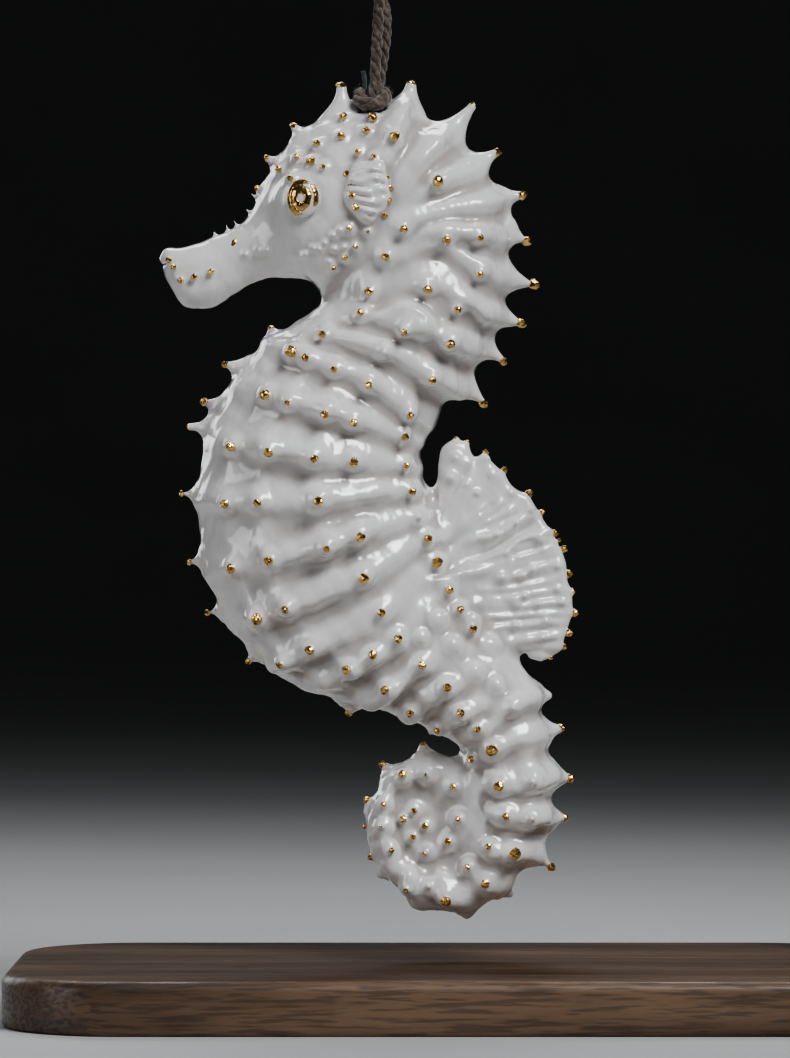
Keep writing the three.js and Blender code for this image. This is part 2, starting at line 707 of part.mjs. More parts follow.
function makeCollar() {
  const { radius, height, sides } = COLLAR;
  const low = FOOT.height + GAP;
  const profile = [
    new THREE.Vector2(SOCKET.radius, low),
    new THREE.Vector2(radius, low),
    new THREE.Vector2(radius, low + 0.6 * height),
    new THREE.Vector2(0.72 * radius, low + height),
    new THREE.Vector2(SOCKET.radius, low + height),
    new THREE.Vector2(SOCKET.radius, low),
  ];
  return solid(new THREE.LatheGeometry(profile, sides).rotateX(Math.PI / 2).translate(POST.x, POST.y, 0));
}

function makeRod() {
  const points = ROD_ROUTE.map(([share, z]) => new THREE.Vector3(
    THREE.MathUtils.lerp(POST.x, HOOK.x, share), THREE.MathUtils.lerp(POST.y, HOOK.y, share), z,
  ));
  return tube(new THREE.CatmullRomCurve3(points), ROD.radius, ROD.sides, ROD.steps);
}

// ---------------------------------------------------------------------------------------------
// The whole part
// ---------------------------------------------------------------------------------------------

const ornament = new THREE.Group();
ornament.add(
  meshOf('snout', makeSnout(), porcelain),
  meshOf('head', makeHead(), porcelain),
  meshOf('neck', makeNeck(), porcelain),
  meshOf('chest', makeChest(), porcelain),
  meshOf('belly', makeBelly(), porcelain),
  meshOf('tail', makeTail(), porcelain),
  meshOf('tail_coil_outer', makeOuterCoil(), porcelain),
  meshOf('tail_coil_inner', makeInnerCoil(), porcelain),
  meshOf('dorsal_fin', makeDorsalFin(), porcelain),
  meshOf('pectoral_fin_left', makePectoralFin(-1), porcelain),
  meshOf('pectoral_fin_right', makePectoralFin(1), porcelain),
  meshOf('eye_left', makeEye(-1), goldLustre),
  meshOf('eye_right', makeEye(1), goldLustre),
);

const hanging = new THREE.Group();
hanging.add(
  meshOf('cord_hitch', makeHitch(), cordFibre),
  meshOf('cord_loop', makeCord(), cordFibre),
);

const stand = new THREE.Group();
stand.add(
  meshOf('stand_foot', makeFoot(), darkWood),
  meshOf('stand_collar', makeCollar(), darkSteel),
  meshOf('stand_rod', makeRod(), darkSteel),
);

const part = new THREE.Group();
part.add(ornament, hanging, stand);

export default part;
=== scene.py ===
"""The looks of a glazed porcelain seahorse ornament with gold lustre dots, hung by a doubled twisted
cord from its small display stand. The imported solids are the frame; one skin stands for all the
porcelain, and the gold, eyes, cord and stand are pieces of their own.

Tables and shape functions are in millimetres in the frame's axes, and metres() turns their points
into the frame's metres. The seahorse looks along -X, and its left side is -Y.
"""

import math

import bmesh
import bpy
import numpy as np
import openvdb as vdb
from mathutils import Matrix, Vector

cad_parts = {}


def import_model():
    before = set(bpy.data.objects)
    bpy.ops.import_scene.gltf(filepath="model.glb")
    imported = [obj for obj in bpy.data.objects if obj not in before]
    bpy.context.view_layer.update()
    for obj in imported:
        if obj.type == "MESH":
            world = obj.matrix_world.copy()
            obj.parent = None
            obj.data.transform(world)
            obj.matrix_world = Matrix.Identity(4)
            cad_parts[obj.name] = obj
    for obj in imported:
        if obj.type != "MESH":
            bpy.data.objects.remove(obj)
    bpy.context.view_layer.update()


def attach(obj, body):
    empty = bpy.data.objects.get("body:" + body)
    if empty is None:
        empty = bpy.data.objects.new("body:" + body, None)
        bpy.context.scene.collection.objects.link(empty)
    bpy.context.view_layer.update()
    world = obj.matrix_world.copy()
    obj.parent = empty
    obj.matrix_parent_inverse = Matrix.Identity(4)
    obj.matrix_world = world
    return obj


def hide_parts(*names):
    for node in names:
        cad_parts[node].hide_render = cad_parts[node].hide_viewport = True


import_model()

MM = 0.001
SEED = 7

# ----- Helpers -----


def metres(points):
    return np.asarray(points, float) * MM


def add_object(name, mesh):
    piece = bpy.data.objects.new(name, mesh)
    bpy.context.scene.collection.objects.link(piece)
    return piece


def mesh_piece(name, points, faces, material, smooth=True):
    """A mesh object from points in millimetres."""
    mesh = bpy.data.meshes.new(name)
    mesh.from_pydata([tuple(p) for p in metres(points)], [], [tuple(int(i) for i in f) for f in faces])
    mesh.polygons.foreach_set("use_smooth", [smooth] * len(mesh.polygons))
    mesh.update()
    mesh.materials.append(material)
    return add_object(name, mesh)


def on_body(piece, slot, *nodes):
    """The piece rides on the one body and stands for the nodes; the slot is not used."""
    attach(piece, "root")
    if nodes:
        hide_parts(*nodes)
    return piece


def unit(vector):
    vector = np.asarray(vector, float)
    return vector / np.linalg.norm(vector, axis=-1, keepdims=True)


def smoothstep(low, high, value):
    t = np.clip((value - low) / (high - low), 0, 1)
    return t * t * (3 - 2 * t)


def catmull_rom(a, b, c, d, t):
    """The smooth curve from b to c, where a comes before and d after."""
    square = 2 * a - 5 * b + 4 * c - d
    cube = 3 * b - a - 3 * c + d
    return 0.5 * (2 * b + (c - a) * t + square * t ** 2 + cube * t ** 3)


def curve(knots, u):
    """A curve through knots; u from 0 to 1 passes them at equal steps."""
    knots = np.asarray(knots, float)
    padded = np.vstack([2 * knots[0] - knots[1], knots, 2 * knots[-1] - knots[-2]])
    s = np.clip(np.asarray(u, float), 0, 1) * (len(knots) - 1)
    i = np.minimum(s.astype(int), len(knots) - 2)
    return catmull_rom(*(padded[i + k] for k in range(4)), (s - i)[..., None])


def mid_plane(x, z):
    """A point of the plane that parts left from right."""
    return np.array((x, 0.0, z))


def grid_quads(rows, columns, wrap):
    """Quads of a grid of points; with wrap the last column joins the first."""
    r, c = np.meshgrid(np.arange(rows - 1), np.arange(columns if wrap else columns - 1), indexing="ij")
    first, nxt = r * columns, (c + 1) % columns
    quads = np.stack([first + c, first + nxt, first + columns + nxt, first + columns + c], -1)
    return quads.reshape(-1, 4)


def capped(rows, sides):
    """Faces of a stack of rings, closed by a flat face at each end."""
    faces = [tuple(q) for q in grid_quads(rows, sides, True)]
    return faces + [tuple(range(sides))[::-1], tuple(range((rows - 1) * sides, rows * sides))]


def turned(profile, sides, centre=(0.0, 0.0), low=0.0):
    """Rings of points round an upright axis, from a profile of radius and height."""
    angles = [2 * math.pi * s / sides for s in range(sides)]
    x, y = centre
    return [(x + r * math.cos(a), y + r * math.sin(a), low + z) for r, z in profile for a in angles]


# ----- Camera -----

VIEW_CENTRE = (-6.3, 0.0, 55.15)   # what the middle of the picture looks at
VIEW_DISTANCE = 600.0
VIEW_HEIGHT = 120.4                # height of the object that the picture takes in
SENSOR = 36.0


def make_camera():
    data = bpy.data.cameras.new("camera")
    data.sensor_width = SENSOR
    data.lens = SENSOR * VIEW_DISTANCE / VIEW_HEIGHT
    data.clip_start = 0.05
    data.clip_end = 20
    camera = add_object("camera", data)
    camera.location = metres(VIEW_CENTRE) - metres((0, VIEW_DISTANCE, 0))
    camera.rotation_euler = (math.pi / 2, 0, 0)
    bpy.context.scene.camera = camera


make_camera()

# ----- Materials -----


class Nodes:
    """A material's node tree, with short calls to add and join nodes."""

    def __init__(self, name):
        self.material = bpy.data.materials.new(name)
        self.material.use_nodes = True
        self.tree = self.material.node_tree
        self.shader = self.tree.nodes["Principled BSDF"]

    def add(self, kind, inputs=None, **settings):
        node = self.tree.nodes.new(kind)
        for key, value in settings.items():
            setattr(node, key, value)
        for key, value in (inputs or {}).items():
            self.set(node, key, value)
        return node

    def set(self, node, key, value):
        socket = node.inputs[key]
        if isinstance(value, bpy.types.NodeSocket):
            self.tree.links.new(value, socket)
        elif isinstance(value, bpy.types.Node):
            self.tree.links.new(value.outputs[0], socket)
        else:
            socket.default_value = value

    def shade(self, **values):
        for key, value in values.items():
            self.set(self.shader, key.replace("_", " "), value)

    def noise(self, vector, scale, detail=2.0, roughness=0.5):
        inputs = {"Vector": vector, "Scale": scale, "Detail": detail, "Roughness": roughness}
        return self.add("ShaderNodeTexNoise", inputs)

    def stretched(self, place, scale):
        return self.add("ShaderNodeMapping", {"Vector": place, "Scale": scale})

    def place(self):
        """Object coordinates, in metres."""
        return self.add("ShaderNodeTexCoord").outputs["Object"]

    def math(self, operation, a, b):
        return self.add("ShaderNodeMath", {0: a, 1: b}, operation=operation)

    def ramp(self, factor, stops):
        node = self.add("ShaderNodeValToRGB", {"Fac": factor})
        elements = node.color_ramp.elements
        while len(elements) < len(stops):
            elements.new(0.5)
        for element, (at, colour) in zip(elements, stops):
            element.position = at
            element.color = (*colour, 1)
        return node

    def mix(self, factor, a, b):
        node = self.add("ShaderNodeMix", data_type="RGBA")
        for index, value in ((0, factor), (6, a), (7, b)):
            plain = isinstance(value, tuple)
            self.set(node, index, (*value, 1) if plain else value)
        return node.outputs[2]

    def bump(self, height, distance, strength):
        inputs = {"Height": height, "Distance": distance, "Strength": strength}
        return self.add("ShaderNodeBump", inputs)


def greys(*stops):
    return [(at, (grey, grey, grey)) for at, grey in stops]


def porcelain_material():
    n = Nodes("porcelain")
    place = n.place()
    glaze_pool_and_shade = n.add("ShaderNodeAttribute", attribute_name="glaze_pool_and_shade").outputs["Fac"]
    fume = n.add("ShaderNodeAttribute", attribute_name="fume").outputs["Fac"]
    cloud = n.noise(place, 90, 3)
    tone = n.ramp(cloud, [(0.3, (0.8, 0.775, 0.757)), (0.7, (0.85, 0.835, 0.822))])
    # Hollows are toned a darker warm grey: partly glaze pooled in them, partly painted shade in the
    # creases.
    pooled_and_shaded = n.mix(glaze_pool_and_shade, tone.outputs[0], (0.535, 0.497, 0.474))
    colour = n.mix(n.math("MULTIPLY", fume, 0.75).outputs[0], pooled_and_shaded, (0.46, 0.33, 0.52))
    wavy = n.bump(n.noise(place, 420), 0.00004, 0.5)
    n.shade(
        Base_Color=colour,
        Roughness=0.22,
        IOR=1.5,
        Subsurface_Weight=0.12,
        Subsurface_Scale=0.0012,
        Coat_Weight=1.0,
        Coat_Roughness=0.035,
        Coat_IOR=1.55,
        Normal=wavy,
    )
    n.shader.inputs["Subsurface Radius"].default_value = (1.0, 0.85, 0.7)
    n.set(n.shader, "Coat Normal", wavy)
    return n.material


def gold_material():
    n = Nodes("gold_lustre")
    place = n.place()
    patches = n.noise(place, 1500, 2, 0.6)
    tone = n.ramp(patches, [(0.3, (0.60, 0.34, 0.10)), (0.62, (0.90, 0.63, 0.25))])
    facets = n.add("ShaderNodeTexVoronoi", {"Vector": place, "Scale": 2600})
    n.shade(
        Base_Color=tone,
        Metallic=1.0,
        Roughness=n.ramp(patches, greys((0.3, 0.3), (0.7, 0.14))),
        Normal=n.bump(facets.outputs["Distance"], 0.00008, 0.6),
    )
    return n.material


def cord_material(name, dark, middle, light):
    n = Nodes(name)
    place = n.place()
    tone = n.ramp(n.noise(place, 2200, 3, 0.6), [(0.3, dark), (0.5, middle), (0.72, light)])
    strands = n.noise(place, 9000, 2, 0.6)
    n.shade(
        Base_Color=tone,
        Roughness=0.78,
        Sheen_Weight=0.5,
        Sheen_Roughness=0.5,
        Normal=n.bump(strands, 0.00008, 0.9),
    )
    return n.material


def wood_material():
    n = Nodes("stand_walnut")
    place = n.place()
    grain = n.noise(n.stretched(place, (14.0, 120.0, 120.0)), 1.0, 6, 0.62)
    pore = n.noise(n.stretched(place, (180.0, 2400.0, 2400.0)), 1.0)
    browns = [(0.32, (0.035, 0.019, 0.011)), (0.5, (0.10, 0.056, 0.032)), (0.68, (0.19, 0.115, 0.07))]
    tone = n.ramp(grain, browns)
    dark = n.ramp(pore, greys((0.4, 0.35), (0.52, 1.0)))
    colour = n.add("ShaderNodeMix", data_type="RGBA", blend_type="MULTIPLY")
    for index, value in ((0, 0.7), (6, tone.outputs[0]), (7, dark.outputs[0])):
        n.set(colour, index, value)
    n.shade(
        Base_Color=colour.outputs[2],
        Roughness=n.ramp(pore, greys((0.4, 0.62), (0.6, 0.38))),
        Coat_Weight=0.25,
        Coat_Roughness=0.28,
        Normal=n.bump(pore, 0.00012, 0.35),
    )
    return n.material


def steel_material():
    n = Nodes("stand_blackened_steel")
    place = n.place()
    lines = n.noise(n.stretched(place, (3500.0, 3500.0, 260.0)), 1.0)
    patina = n.noise(place, 160, 3, 0.55)
    n.shade(
        Base_Color=n.ramp(patina, [(0.35, (0.055, 0.056, 0.06)), (0.7, (0.13, 0.13, 0.135))]),
        Metallic=1.0,
        Roughness=n.ramp(lines, greys((0.3, 0.32), (0.7, 0.46))),
        Normal=n.bump(lines, 0.00003, 0.4),
    )
    return n.material


def floor_material():
    n = Nodes("pale_floor")
    place = n.place()
    tone = n.ramp(n.noise(place, 9, 3), [(0.35, (0.46, 0.457, 0.45)), (0.65, (0.49, 0.487, 0.48))])
    n.shade(Base_Color=tone, Roughness=0.85, Normal=n.bump(n.noise(place, 900), 0.0003, 0.1))
    n.set(n.shader, "Specular IOR Level", 0.2)
    return n.material


PORCELAIN = porcelain_material()
GOLD = gold_material()
FIBRE = cord_material("cord_fibre", (0.033, 0.022, 0.015), (0.09, 0.062, 0.044), (0.22, 0.163, 0.122))
GREENS = (0.008, 0.02, 0.018), (0.02, 0.045, 0.04), (0.05, 0.09, 0.08)
GREEN_THREAD = cord_material("green_thread", *GREENS)
WALNUT = wood_material()
STEEL = steel_material()

# ----- Tubes along a path -----


def spline(points, samples):
    """A smooth curve through the points, resampled to equal steps."""
    fine = curve(points, np.linspace(0, 1, 24 * (len(points) - 1) + 1))
    along = np.concatenate([[0], np.cumsum(np.linalg.norm(np.diff(fine, axis=0), axis=1))])
    wanted = np.linspace(0, along[-1], samples)
    return np.stack([np.interp(wanted, along, fine[:, axis]) for axis in range(3)], 1)


def frames(path):
    """Tangents and two steady normals along a path."""
    tangents = unit(np.gradient(path, axis=0))
    side = unit(np.cross(tangents[0], (0.31, 0.95, 0.11)))
    sides = []
    for tangent in tangents:
        side = unit(side - tangent * np.dot(side, tangent))
        sides.append(side)
    sides = np.array(sides)
    return tangents, sides, np.cross(tangents, sides)


def tube_mesh(path, radii, sides):
    """Points and faces of a closed tube with flat ends."""
    _, u, v = frames(path)
    angles = np.linspace(0, 2 * math.pi, sides, endpoint=False)
    ring = u[:, None] * np.cos(angles)[None, :, None] + v[:, None] * np.sin(angles)[None, :, None]
    points = (path[:, None] + ring * np.broadcast_to(radii, len(path))[:, None, None]).reshape(-1, 3)
    return points, capped(len(path), sides)


def joined(parts):
    """One list of points and faces from several."""
    points, faces, start = [], [], 0
    for part_points, part_faces in parts:
        points.append(np.asarray(part_points, float))
        faces += [tuple(int(i) + start for i in face) for face in part_faces]
        start += len(part_points)
    return np.vstack(points), faces


# ----- Cord -----

CORD_DIAMETER = 1.3
CORD_PLIES = 3
PLY_PITCH = 4.2                    # length of one full turn of a ply
PLY_SIDES = 12
CORD_ROUTE = [
    (-8.6, -0.5, 105.75), (-8.5, -0.46, 108), (-8.35, -0.45, 110.5), (-8.2, -0.6, 113),
    (-8.1, -1.1, 115), (-7.75, -1.8, 117), (-7.1, -2.55, 119.5), (-7.22, -2.2, 120.85),
    (-7.55, -1.27, 121.84), (-8, 0, 122.2), (-8.45, 1.27, 121.84), (-8.78, 2.2, 120.85),
    (-8.9, 2.55, 119.5), (-8.25, 1.8, 117), (-7.6, 1.1, 115), (-7.3, 0.6, 113),
    (-7.45, 0.45, 110.5), (-7.8, 0.52, 108), (-8.1, 0.6, 105.75),
]
# The hitch: the doubled end of the cord crosses in front of the bar, wraps over it at both sides,
# and comes up as the two legs.
HITCH_ROUTE = [
    (-8.6, -0.5, 106.1), (-8.75, -0.9, 105.0), (-9.15, -1.3, 103.7), (-9.5, -0.85, 102.35),
    (-9.65, 0.5, 102.2), (-9.85, 1.3, 103.3), (-10.1, 0.85, 104.5), (-10.25, -0.6, 104.8),
    (-10.3, -1.7, 104.1), (-9.8, -2.25, 103.45),
    (-8.85, -2.4, 103.3), (-7.95, -2.25, 103.5), (-7.45, -1.7, 104.15), (-7.45, -0.6, 104.8),
    (-7.55, 0.85, 104.5), (-7.75, 1.3, 103.3), (-7.95, 0.5, 102.2), (-8.05, -0.85, 102.35),
    (-8.2, -1.3, 103.7), (-8.25, -0.7, 104.9), (-8.1, 0.6, 106.1),
]
# The loose end of a green thread beside the hitch.
STUB_ROUTE = [(-9.3, -0.2, 104.6), (-9.75, -0.75, 105.3), (-9.75, -0.9, 106.2), (-9.95, -0.95, 107.2)]
HITCH_DIAMETER = 1.2
HITCH_SWELL = 0.35                 # how much thicker the hitch is where it crosses in front
THREAD_RADIUS = 0.26
FIBRE_RADIUS = 0.022
# Loose fibres: how many, and the longest.
HITCH_FIBRES = (700, 0.8)
CORD_FIBRES = (420, 0.6)


def plies(path, diameter):
    """The twisted plies of a cord, each a closed tube wound round the path."""
    _, u, v = frames(path)
    along = np.concatenate([[0], np.cumsum(np.linalg.norm(np.diff(path, axis=0), axis=1))])
    ply_radius = 0.27 * diameter * np.ones(len(path))
    wind = (diameter / 2 - ply_radius)[:, None]
    made = []
    for ply in range(CORD_PLIES):
        turn = 2 * math.pi * (ply / CORD_PLIES - along / PLY_PITCH)
        centre = path + wind * (u * np.cos(turn)[:, None] + v * np.sin(turn)[:, None])
        swell = 1 + 0.07 * np.sin(along * 5.1 + ply * 2.0) + 0.04 * np.sin(along * 11.3 + ply)
        made.append(tube_mesh(centre, ply_radius * swell, PLY_SIDES))
    return made


def fibres(path, radius, count, longest, random):
    """Loose ends that stand off a cord, each a hair-thin closed tube."""
    tangents, u, v = frames(path)
    made = []
    for _ in range(count):
        i = random.integers(len(path))
        turn = random.uniform(0, 2 * math.pi)
        out = u[i] * math.cos(turn) + v[i] * math.sin(turn)
        lean = tangents[i] * random.normal(0, 1.0) + random.normal(0, 0.35, 3)
        length = random.uniform(0.3, 1.0) * longest
        start = path[i] + out * radius * 0.75
        middle = start + unit(out + 0.5 * lean) * length * 0.5
        end = middle + unit(0.35 * out + lean) * length * 0.5
        radii = FIBRE_RADIUS * np.array([1.0, 0.8, 0.3])
        made.append(tube_mesh(np.array([start, middle, end]), radii, 3))
    return made


def make_cord(random):
    path = spline(CORD_ROUTE, 300)
    length = np.linalg.norm(np.diff(path, axis=0), axis=1).sum()
    points, faces = joined(plies(path, CORD_DIAMETER))
    cord = on_body(mesh_piece("cord_twisted", points, faces, FIBRE), "cord", "cord_loop")
    bend = spline(HITCH_ROUTE, 320)
    in_front = np.clip(-bend[:, 1] - 0.6, 0, 1.2) / 1.2
    knot = plies(bend, HITCH_DIAMETER * (1 + HITCH_SWELL * in_front))
    hairs = fibres(bend, HITCH_DIAMETER / 2 + 0.1, *HITCH_FIBRES, random)
    on_body(mesh_piece("cord_hitch_knot", *joined(knot + hairs), FIBRE), "cord", "cord_hitch")
    hairs = fibres(path, CORD_DIAMETER / 2, *CORD_FIBRES, random)
    on_body(mesh_piece("cord_hairs", *joined(hairs), FIBRE), "cord")
    stub = tube_mesh(spline(STUB_ROUTE, 30), THREAD_RADIUS, 10)
    on_body(mesh_piece("cord_thread_end", *stub, GREEN_THREAD), "cord")
    return cord, path, length


cord_piece, cord_path, cord_length = make_cord(np.random.default_rng(SEED))

# ----- Body rows -----

# Each row: front x, front z, back x, back z, half thickness in y, widest place (0 front, 1 back).
ROWS = [
    (-32.7, 84.8, -33.0, 86.0, 0.8, 0.5),      # 0 lips
    (-31.6, 82.4, -32.4, 87.0, 2.0, 0.5),
    (-30.1, 80.5, -31.0, 87.2, 2.8, 0.5),
    (-27.2, 80.3, -28.9, 87.6, 3.0, 0.5),
    (-24.2, 82.0, -26.2, 88.6, 2.7, 0.5),
    (-21.7, 83.5, -23.9, 89.9, 2.9, 0.5),
    (-19.0, 83.8, -22.5, 91.5, 3.7, 0.46),     # 6 cheek
    (-16.5, 83.6, -21.4, 93.7, 4.9, 0.42),
    (-15.7, 83.1, -20.1, 96.4, 5.7, 0.42),
    (-15.3, 82.7, -18.0, 99.4, 6.3, 0.42),
    (-14.9, 82.2, -15.2, 101.4, 6.7, 0.42),
    (-14.8, 81.9, -12.4, 102.5, 6.9, 0.44),
    (-14.8, 81.7, -8.9, 102.9, 7.0, 0.45),     # 12 crown
    (-14.8, 81.6, -5.0, 102.7, 7.0, 0.46),
    (-14.8, 81.5, -0.2, 99.8, 6.8, 0.49),      # 14 neck
    (-14.9, 81.4, 3.2, 96.3, 6.8, 0.5),
    (-15.0, 81.3, 5.7, 92.7, 6.8, 0.5),
    (-15.1, 81.1, 6.6, 88.0, 6.8, 0.5),
    (-15.2, 80.8, 6.5, 83.1, 6.9, 0.5),
    (-15.9, 80.2, 5.5, 79.3, 7.0, 0.5),
    (-17.0, 79.2, 3.5, 75.1, 7.2, 0.5),
    (-19.1, 77.8, 0.7, 70.7, 7.6, 0.5),
    (-22.0, 75.9, -1.5, 67.2, 8.1, 0.5),       # 22 trunk
    (-24.7, 71.9, -2.9, 64.6, 8.6, 0.5),
    (-27.4, 66.8, -3.1, 62.2, 8.9, 0.5),
    (-28.8, 60.0, -2.5, 59.4, 9.1, 0.5),
    (-28.4, 52.2, -1.6, 56.6, 9.1, 0.5),
    (-26.5, 46.4, -0.7, 53.7, 8.9, 0.5),
    (-22.8, 41.2, 0.4, 50.8, 8.4, 0.5),
    (-17.4, 37.1, 1.9, 47.9, 7.8, 0.5),
    (-11.4, 35.1, 3.8, 45.1, 7.1, 0.5),
    (-6.6, 34.0, 6.0, 42.6, 6.5, 0.5),
    (-2.1, 32.2, 8.2, 39.9, 6.0, 0.5),         # 32 tail
    (0.7, 30.6, 10.1, 36.2, 5.6, 0.5),
    (2.0, 28.5, 11.0, 32.2, 5.2, 0.5),
    (2.5, 25.9, 11.7, 26.8, 4.8, 0.5),
    (2.2, 23.7, 11.4, 22.3, 4.5, 0.5),
    (1.7, 21.6, 9.8, 17.9, 4.2, 0.5),
]

# The coil: angle in degrees round its centre, inside and outside radius, half thickness.
COIL_CENTRE = (-2.7, 20.8)
COIL_KNOTS = [
    (-37, 4.5, 11.3, 4.0), (-64, 4.05, 10.3, 3.7), (-100, 3.5, 8.7, 3.4), (-137, 3.1, 6.85, 3.2),
    (-160, 3.05, 6.4, 3.1), (-185, 3.3, 6.25, 3.0), (-209, 4.05, 6.9, 2.9), (-237, 4.8, 8.2, 2.8),
    (-268, 4.6, 8.9, 2.8), (-300, 3.3, 8.9, 2.8), (-325, 2.1, 6.8, 2.7), (-350, 1.5, 5.6, 2.6),
    (-380, 1.2, 4.9, 2.55), (-410, 1.1, 4.3, 2.5), (-445, 1.0, 3.7, 2.4), (-480, 0.9, 3.2, 2.3),
    (-520, 0.9, 3.05, 2.2), (-550, 1.1, 3.4, 2.1), (-575, 1.4, 4.0, 2.0), (-600, 1.7, 4.2, 1.9),
    (-625, 1.5, 3.8, 1.8), (-655, 0.9, 3.0, 1.7), (-690, 0.1, 2.0, 1.6), (-730, -0.7, 1.2, 1.5),
]


def on_coil(degrees, radius):
    angle = math.radians(degrees)
    return COIL_CENTRE[0] + radius * math.cos(angle), COIL_CENTRE[1] + radius * math.sin(angle)


ALL_ROWS = np.array(ROWS + [
    (*on_coil(degrees, inner), *on_coil(degrees, outer), half_depth, 0.5)
    for degrees, inner, outer, half_depth in COIL_KNOTS
])
LAST_ROW = len(ALL_ROWS) - 1

# Each raised ring: the row it lies on over the front half of the body, and the row at its back end.
RINGS = {
    13: (13.0, 13.0), 14: (13.9, 14.0), 15: (14.3, 15.0), 16: (15.0, 16.0), 17: (15.7, 17.0),
    18: (16.2, 18.0), 19: (17.8, 19.0), 20: (19.5, 20.0), 21: (20.6, 21.0), 22: (21.7, 22.2),
    23: (23.05, 22.9), 24: (24.3, 24.05),
    25: (25.27, 25.0), 26: (26.35, 25.9), 27: (27.47, 26.7), 28: (28.45, 27.6), 29: (29.2, 28.6),
    30: (30.2, 29.3), 31: (31.25, 30.0), 32: (32.1, 31.3), 33: (32.9, 33.0), 34: (33.9, 34.0),
    35: (35.1, 35.0), 36: (36.2, 36.05), 37: (37.35, 37.0), 38: (38.2, 38.0), 39: (39.3, 39.0),
    40: (40.3, 40.0), 41: (41.5, 41.0), 42: (42.3, 41.8), 43: (43.05, 42.8), 44: (44.1, 44.0),
    45: (45.3, 45.0), 46: (46.05, 46.0), 47: (47.05, 47.0),
}

# Warts on the flank, by ring: fraction from front to back, and width of the gold (0 for none).
RING_WARTS = {
    21: [(0.18, 0.7), (0.53, 0.0), (0.85, 0.75)],
    22: [(0.15, 1.15), (0.23, 0.75), (0.39, 0.65), (0.59, 0.7), (0.86, 0.7)],
    23: [(0.17, 0.95), (0.29, 0.6), (0.48, 0.8), (0.63, 0.75), (0.89, 0.75)],
    24: [(0.12, 0.9), (0.29, 0.85), (0.5, 0.75), (0.68, 0.85), (0.92, 0.6)],
    25: [(0.12, 0.85), (0.26, 0.75), (0.52, 0.9), (0.93, 0.7)],
    26: [(0.11, 0.85), (0.27, 0.85), (0.52, 0.65), (0.67, 0.9), (0.93, 0.0)],
    27: [(0.12, 1.1), (0.25, 0.7), (0.62, 0.95), (0.94, 0.8)],
    28: [(0.21, 0.85), (0.05, 0.6), (0.6, 0.75), (0.94, 1.0)],
    29: [(0.24, 0.85), (0.4, 0.85), (0.56, 0.8), (0.93, 0.8)],
    30: [(0.2, 0.8), (0.49, 0.75), (0.92, 0.7)],
    31: [(0.07, 0.7), (0.42, 0.85), (0.9, 0.8)],
    32: [(0.02, 0.6), (0.29, 0.8)],
    33: [(0.27, 0.65), (0.7, 0.0)], 34: [(0.05, 0.7), (0.31, 1.1)], 35: [(0.33, 0.95), (0.75, 0.0)],
    36: [(0.46, 0.7), (0.78, 0.0)], 37: [(0.73, 1.1)],
}

# Warts of the neck: row, fraction, width of the gold.
NECK_WARTS = [
    (14.55, 0.81, 1.0), (15.0, 0.53, 0.75), (16.35, 0.69, 0.85), (16.7, 0.86, 0.6), (15.7, 0.38, 0.75),
    (17.65, 0.85, 0.65), (17.9, 0.58, 0.85), (17.5, 0.27, 0.8), (18.8, 0.77, 0.7), (19.1, 0.27, 0.65),
    (19.9, 0.82, 0.8),
]

RIDGE = {
    "height": 1.15, "share": 0.25, "width": 1.45, "width_share": 0.32, "unevenness": 0.3,
    "upper": 1.3, "lower": 0.8, "trough": 0.22, "sink": 0.22,
}
# The swelling that a wart stands on.
HILL = {"height": 0.42, "radius": 1.9, "lift": 0.6, "flatness": 1.3}
# Long ridges: fraction from front to back, height, first and last row.
LONG_RIDGES = [
    (0.13, 0.5, 26.0, 30.5), (0.28, 0.3, 21.0, 38.0), (0.52, 0.22, 22.0, 30.0), (0.72, 0.3, 32.5, 39.5),
]
LONG_RIDGE_WIDTH = 1.3
# Rings of the body's regions, which fade in ways of their own.
HEAD_RINGS_END = 15
NECK_RINGS_END = 19
CHEST_RINGS_START = 22
BELLY_RINGS_START = 28
TAIL_RINGS_START = 33
COIL_RINGS_START = 38


def rows_at(places):
    i = np.clip(np.floor(places).astype(int), 0, LAST_ROW - 1)
    around = (ALL_ROWS[np.clip(i + k, 0, LAST_ROW)] for k in (-1, 0, 1, 2))
    return catmull_rom(*around, (places - i)[:, None])


def bare_skin(places, angles):
    """Points of the plain sweep, one row of points for each place. Angle 0 is the front."""
    rows = rows_at(places)
    power = np.log(rows[:, 5]) / math.log(0.5)
    across = ((1 - np.cos(angles)) / 2)[None, :] ** power[:, None]
    xz = rows[:, None, 0:2] + (rows[:, None, 2:4] - rows[:, None, 0:2]) * across[..., None]
    y = rows[:, 4, None] * np.sin(angles)[None, :]
    return np.stack([xz[..., 0], y, xz[..., 1]], -1)


def ring_row(ring, fraction):
    front, back = RINGS[ring]
    return front + (back - front) * smoothstep(0.5, 1.0, fraction)


def angle_of(fraction):
    return math.acos(1 - 2 * fraction)


def left_skin(place, fraction):
    """A point of the plain sweep on the left flank, and the outward normal there."""
    steps = np.array((-0.03, 0, 0.03))
    grid = bare_skin(place + steps, steps - angle_of(fraction))
    normal = unit(np.cross(grid[2, 1] - grid[0, 1], grid[1, 2] - grid[1, 0]))
    row = rows_at(np.array([float(place)]))[0]
    centre = np.array(((row[0] + row[2]) / 2, 0, (row[1] + row[3]) / 2))
    if np.dot(normal, grid[1, 1] - centre) < 0:
        normal = -normal
    return grid[1, 1], normal


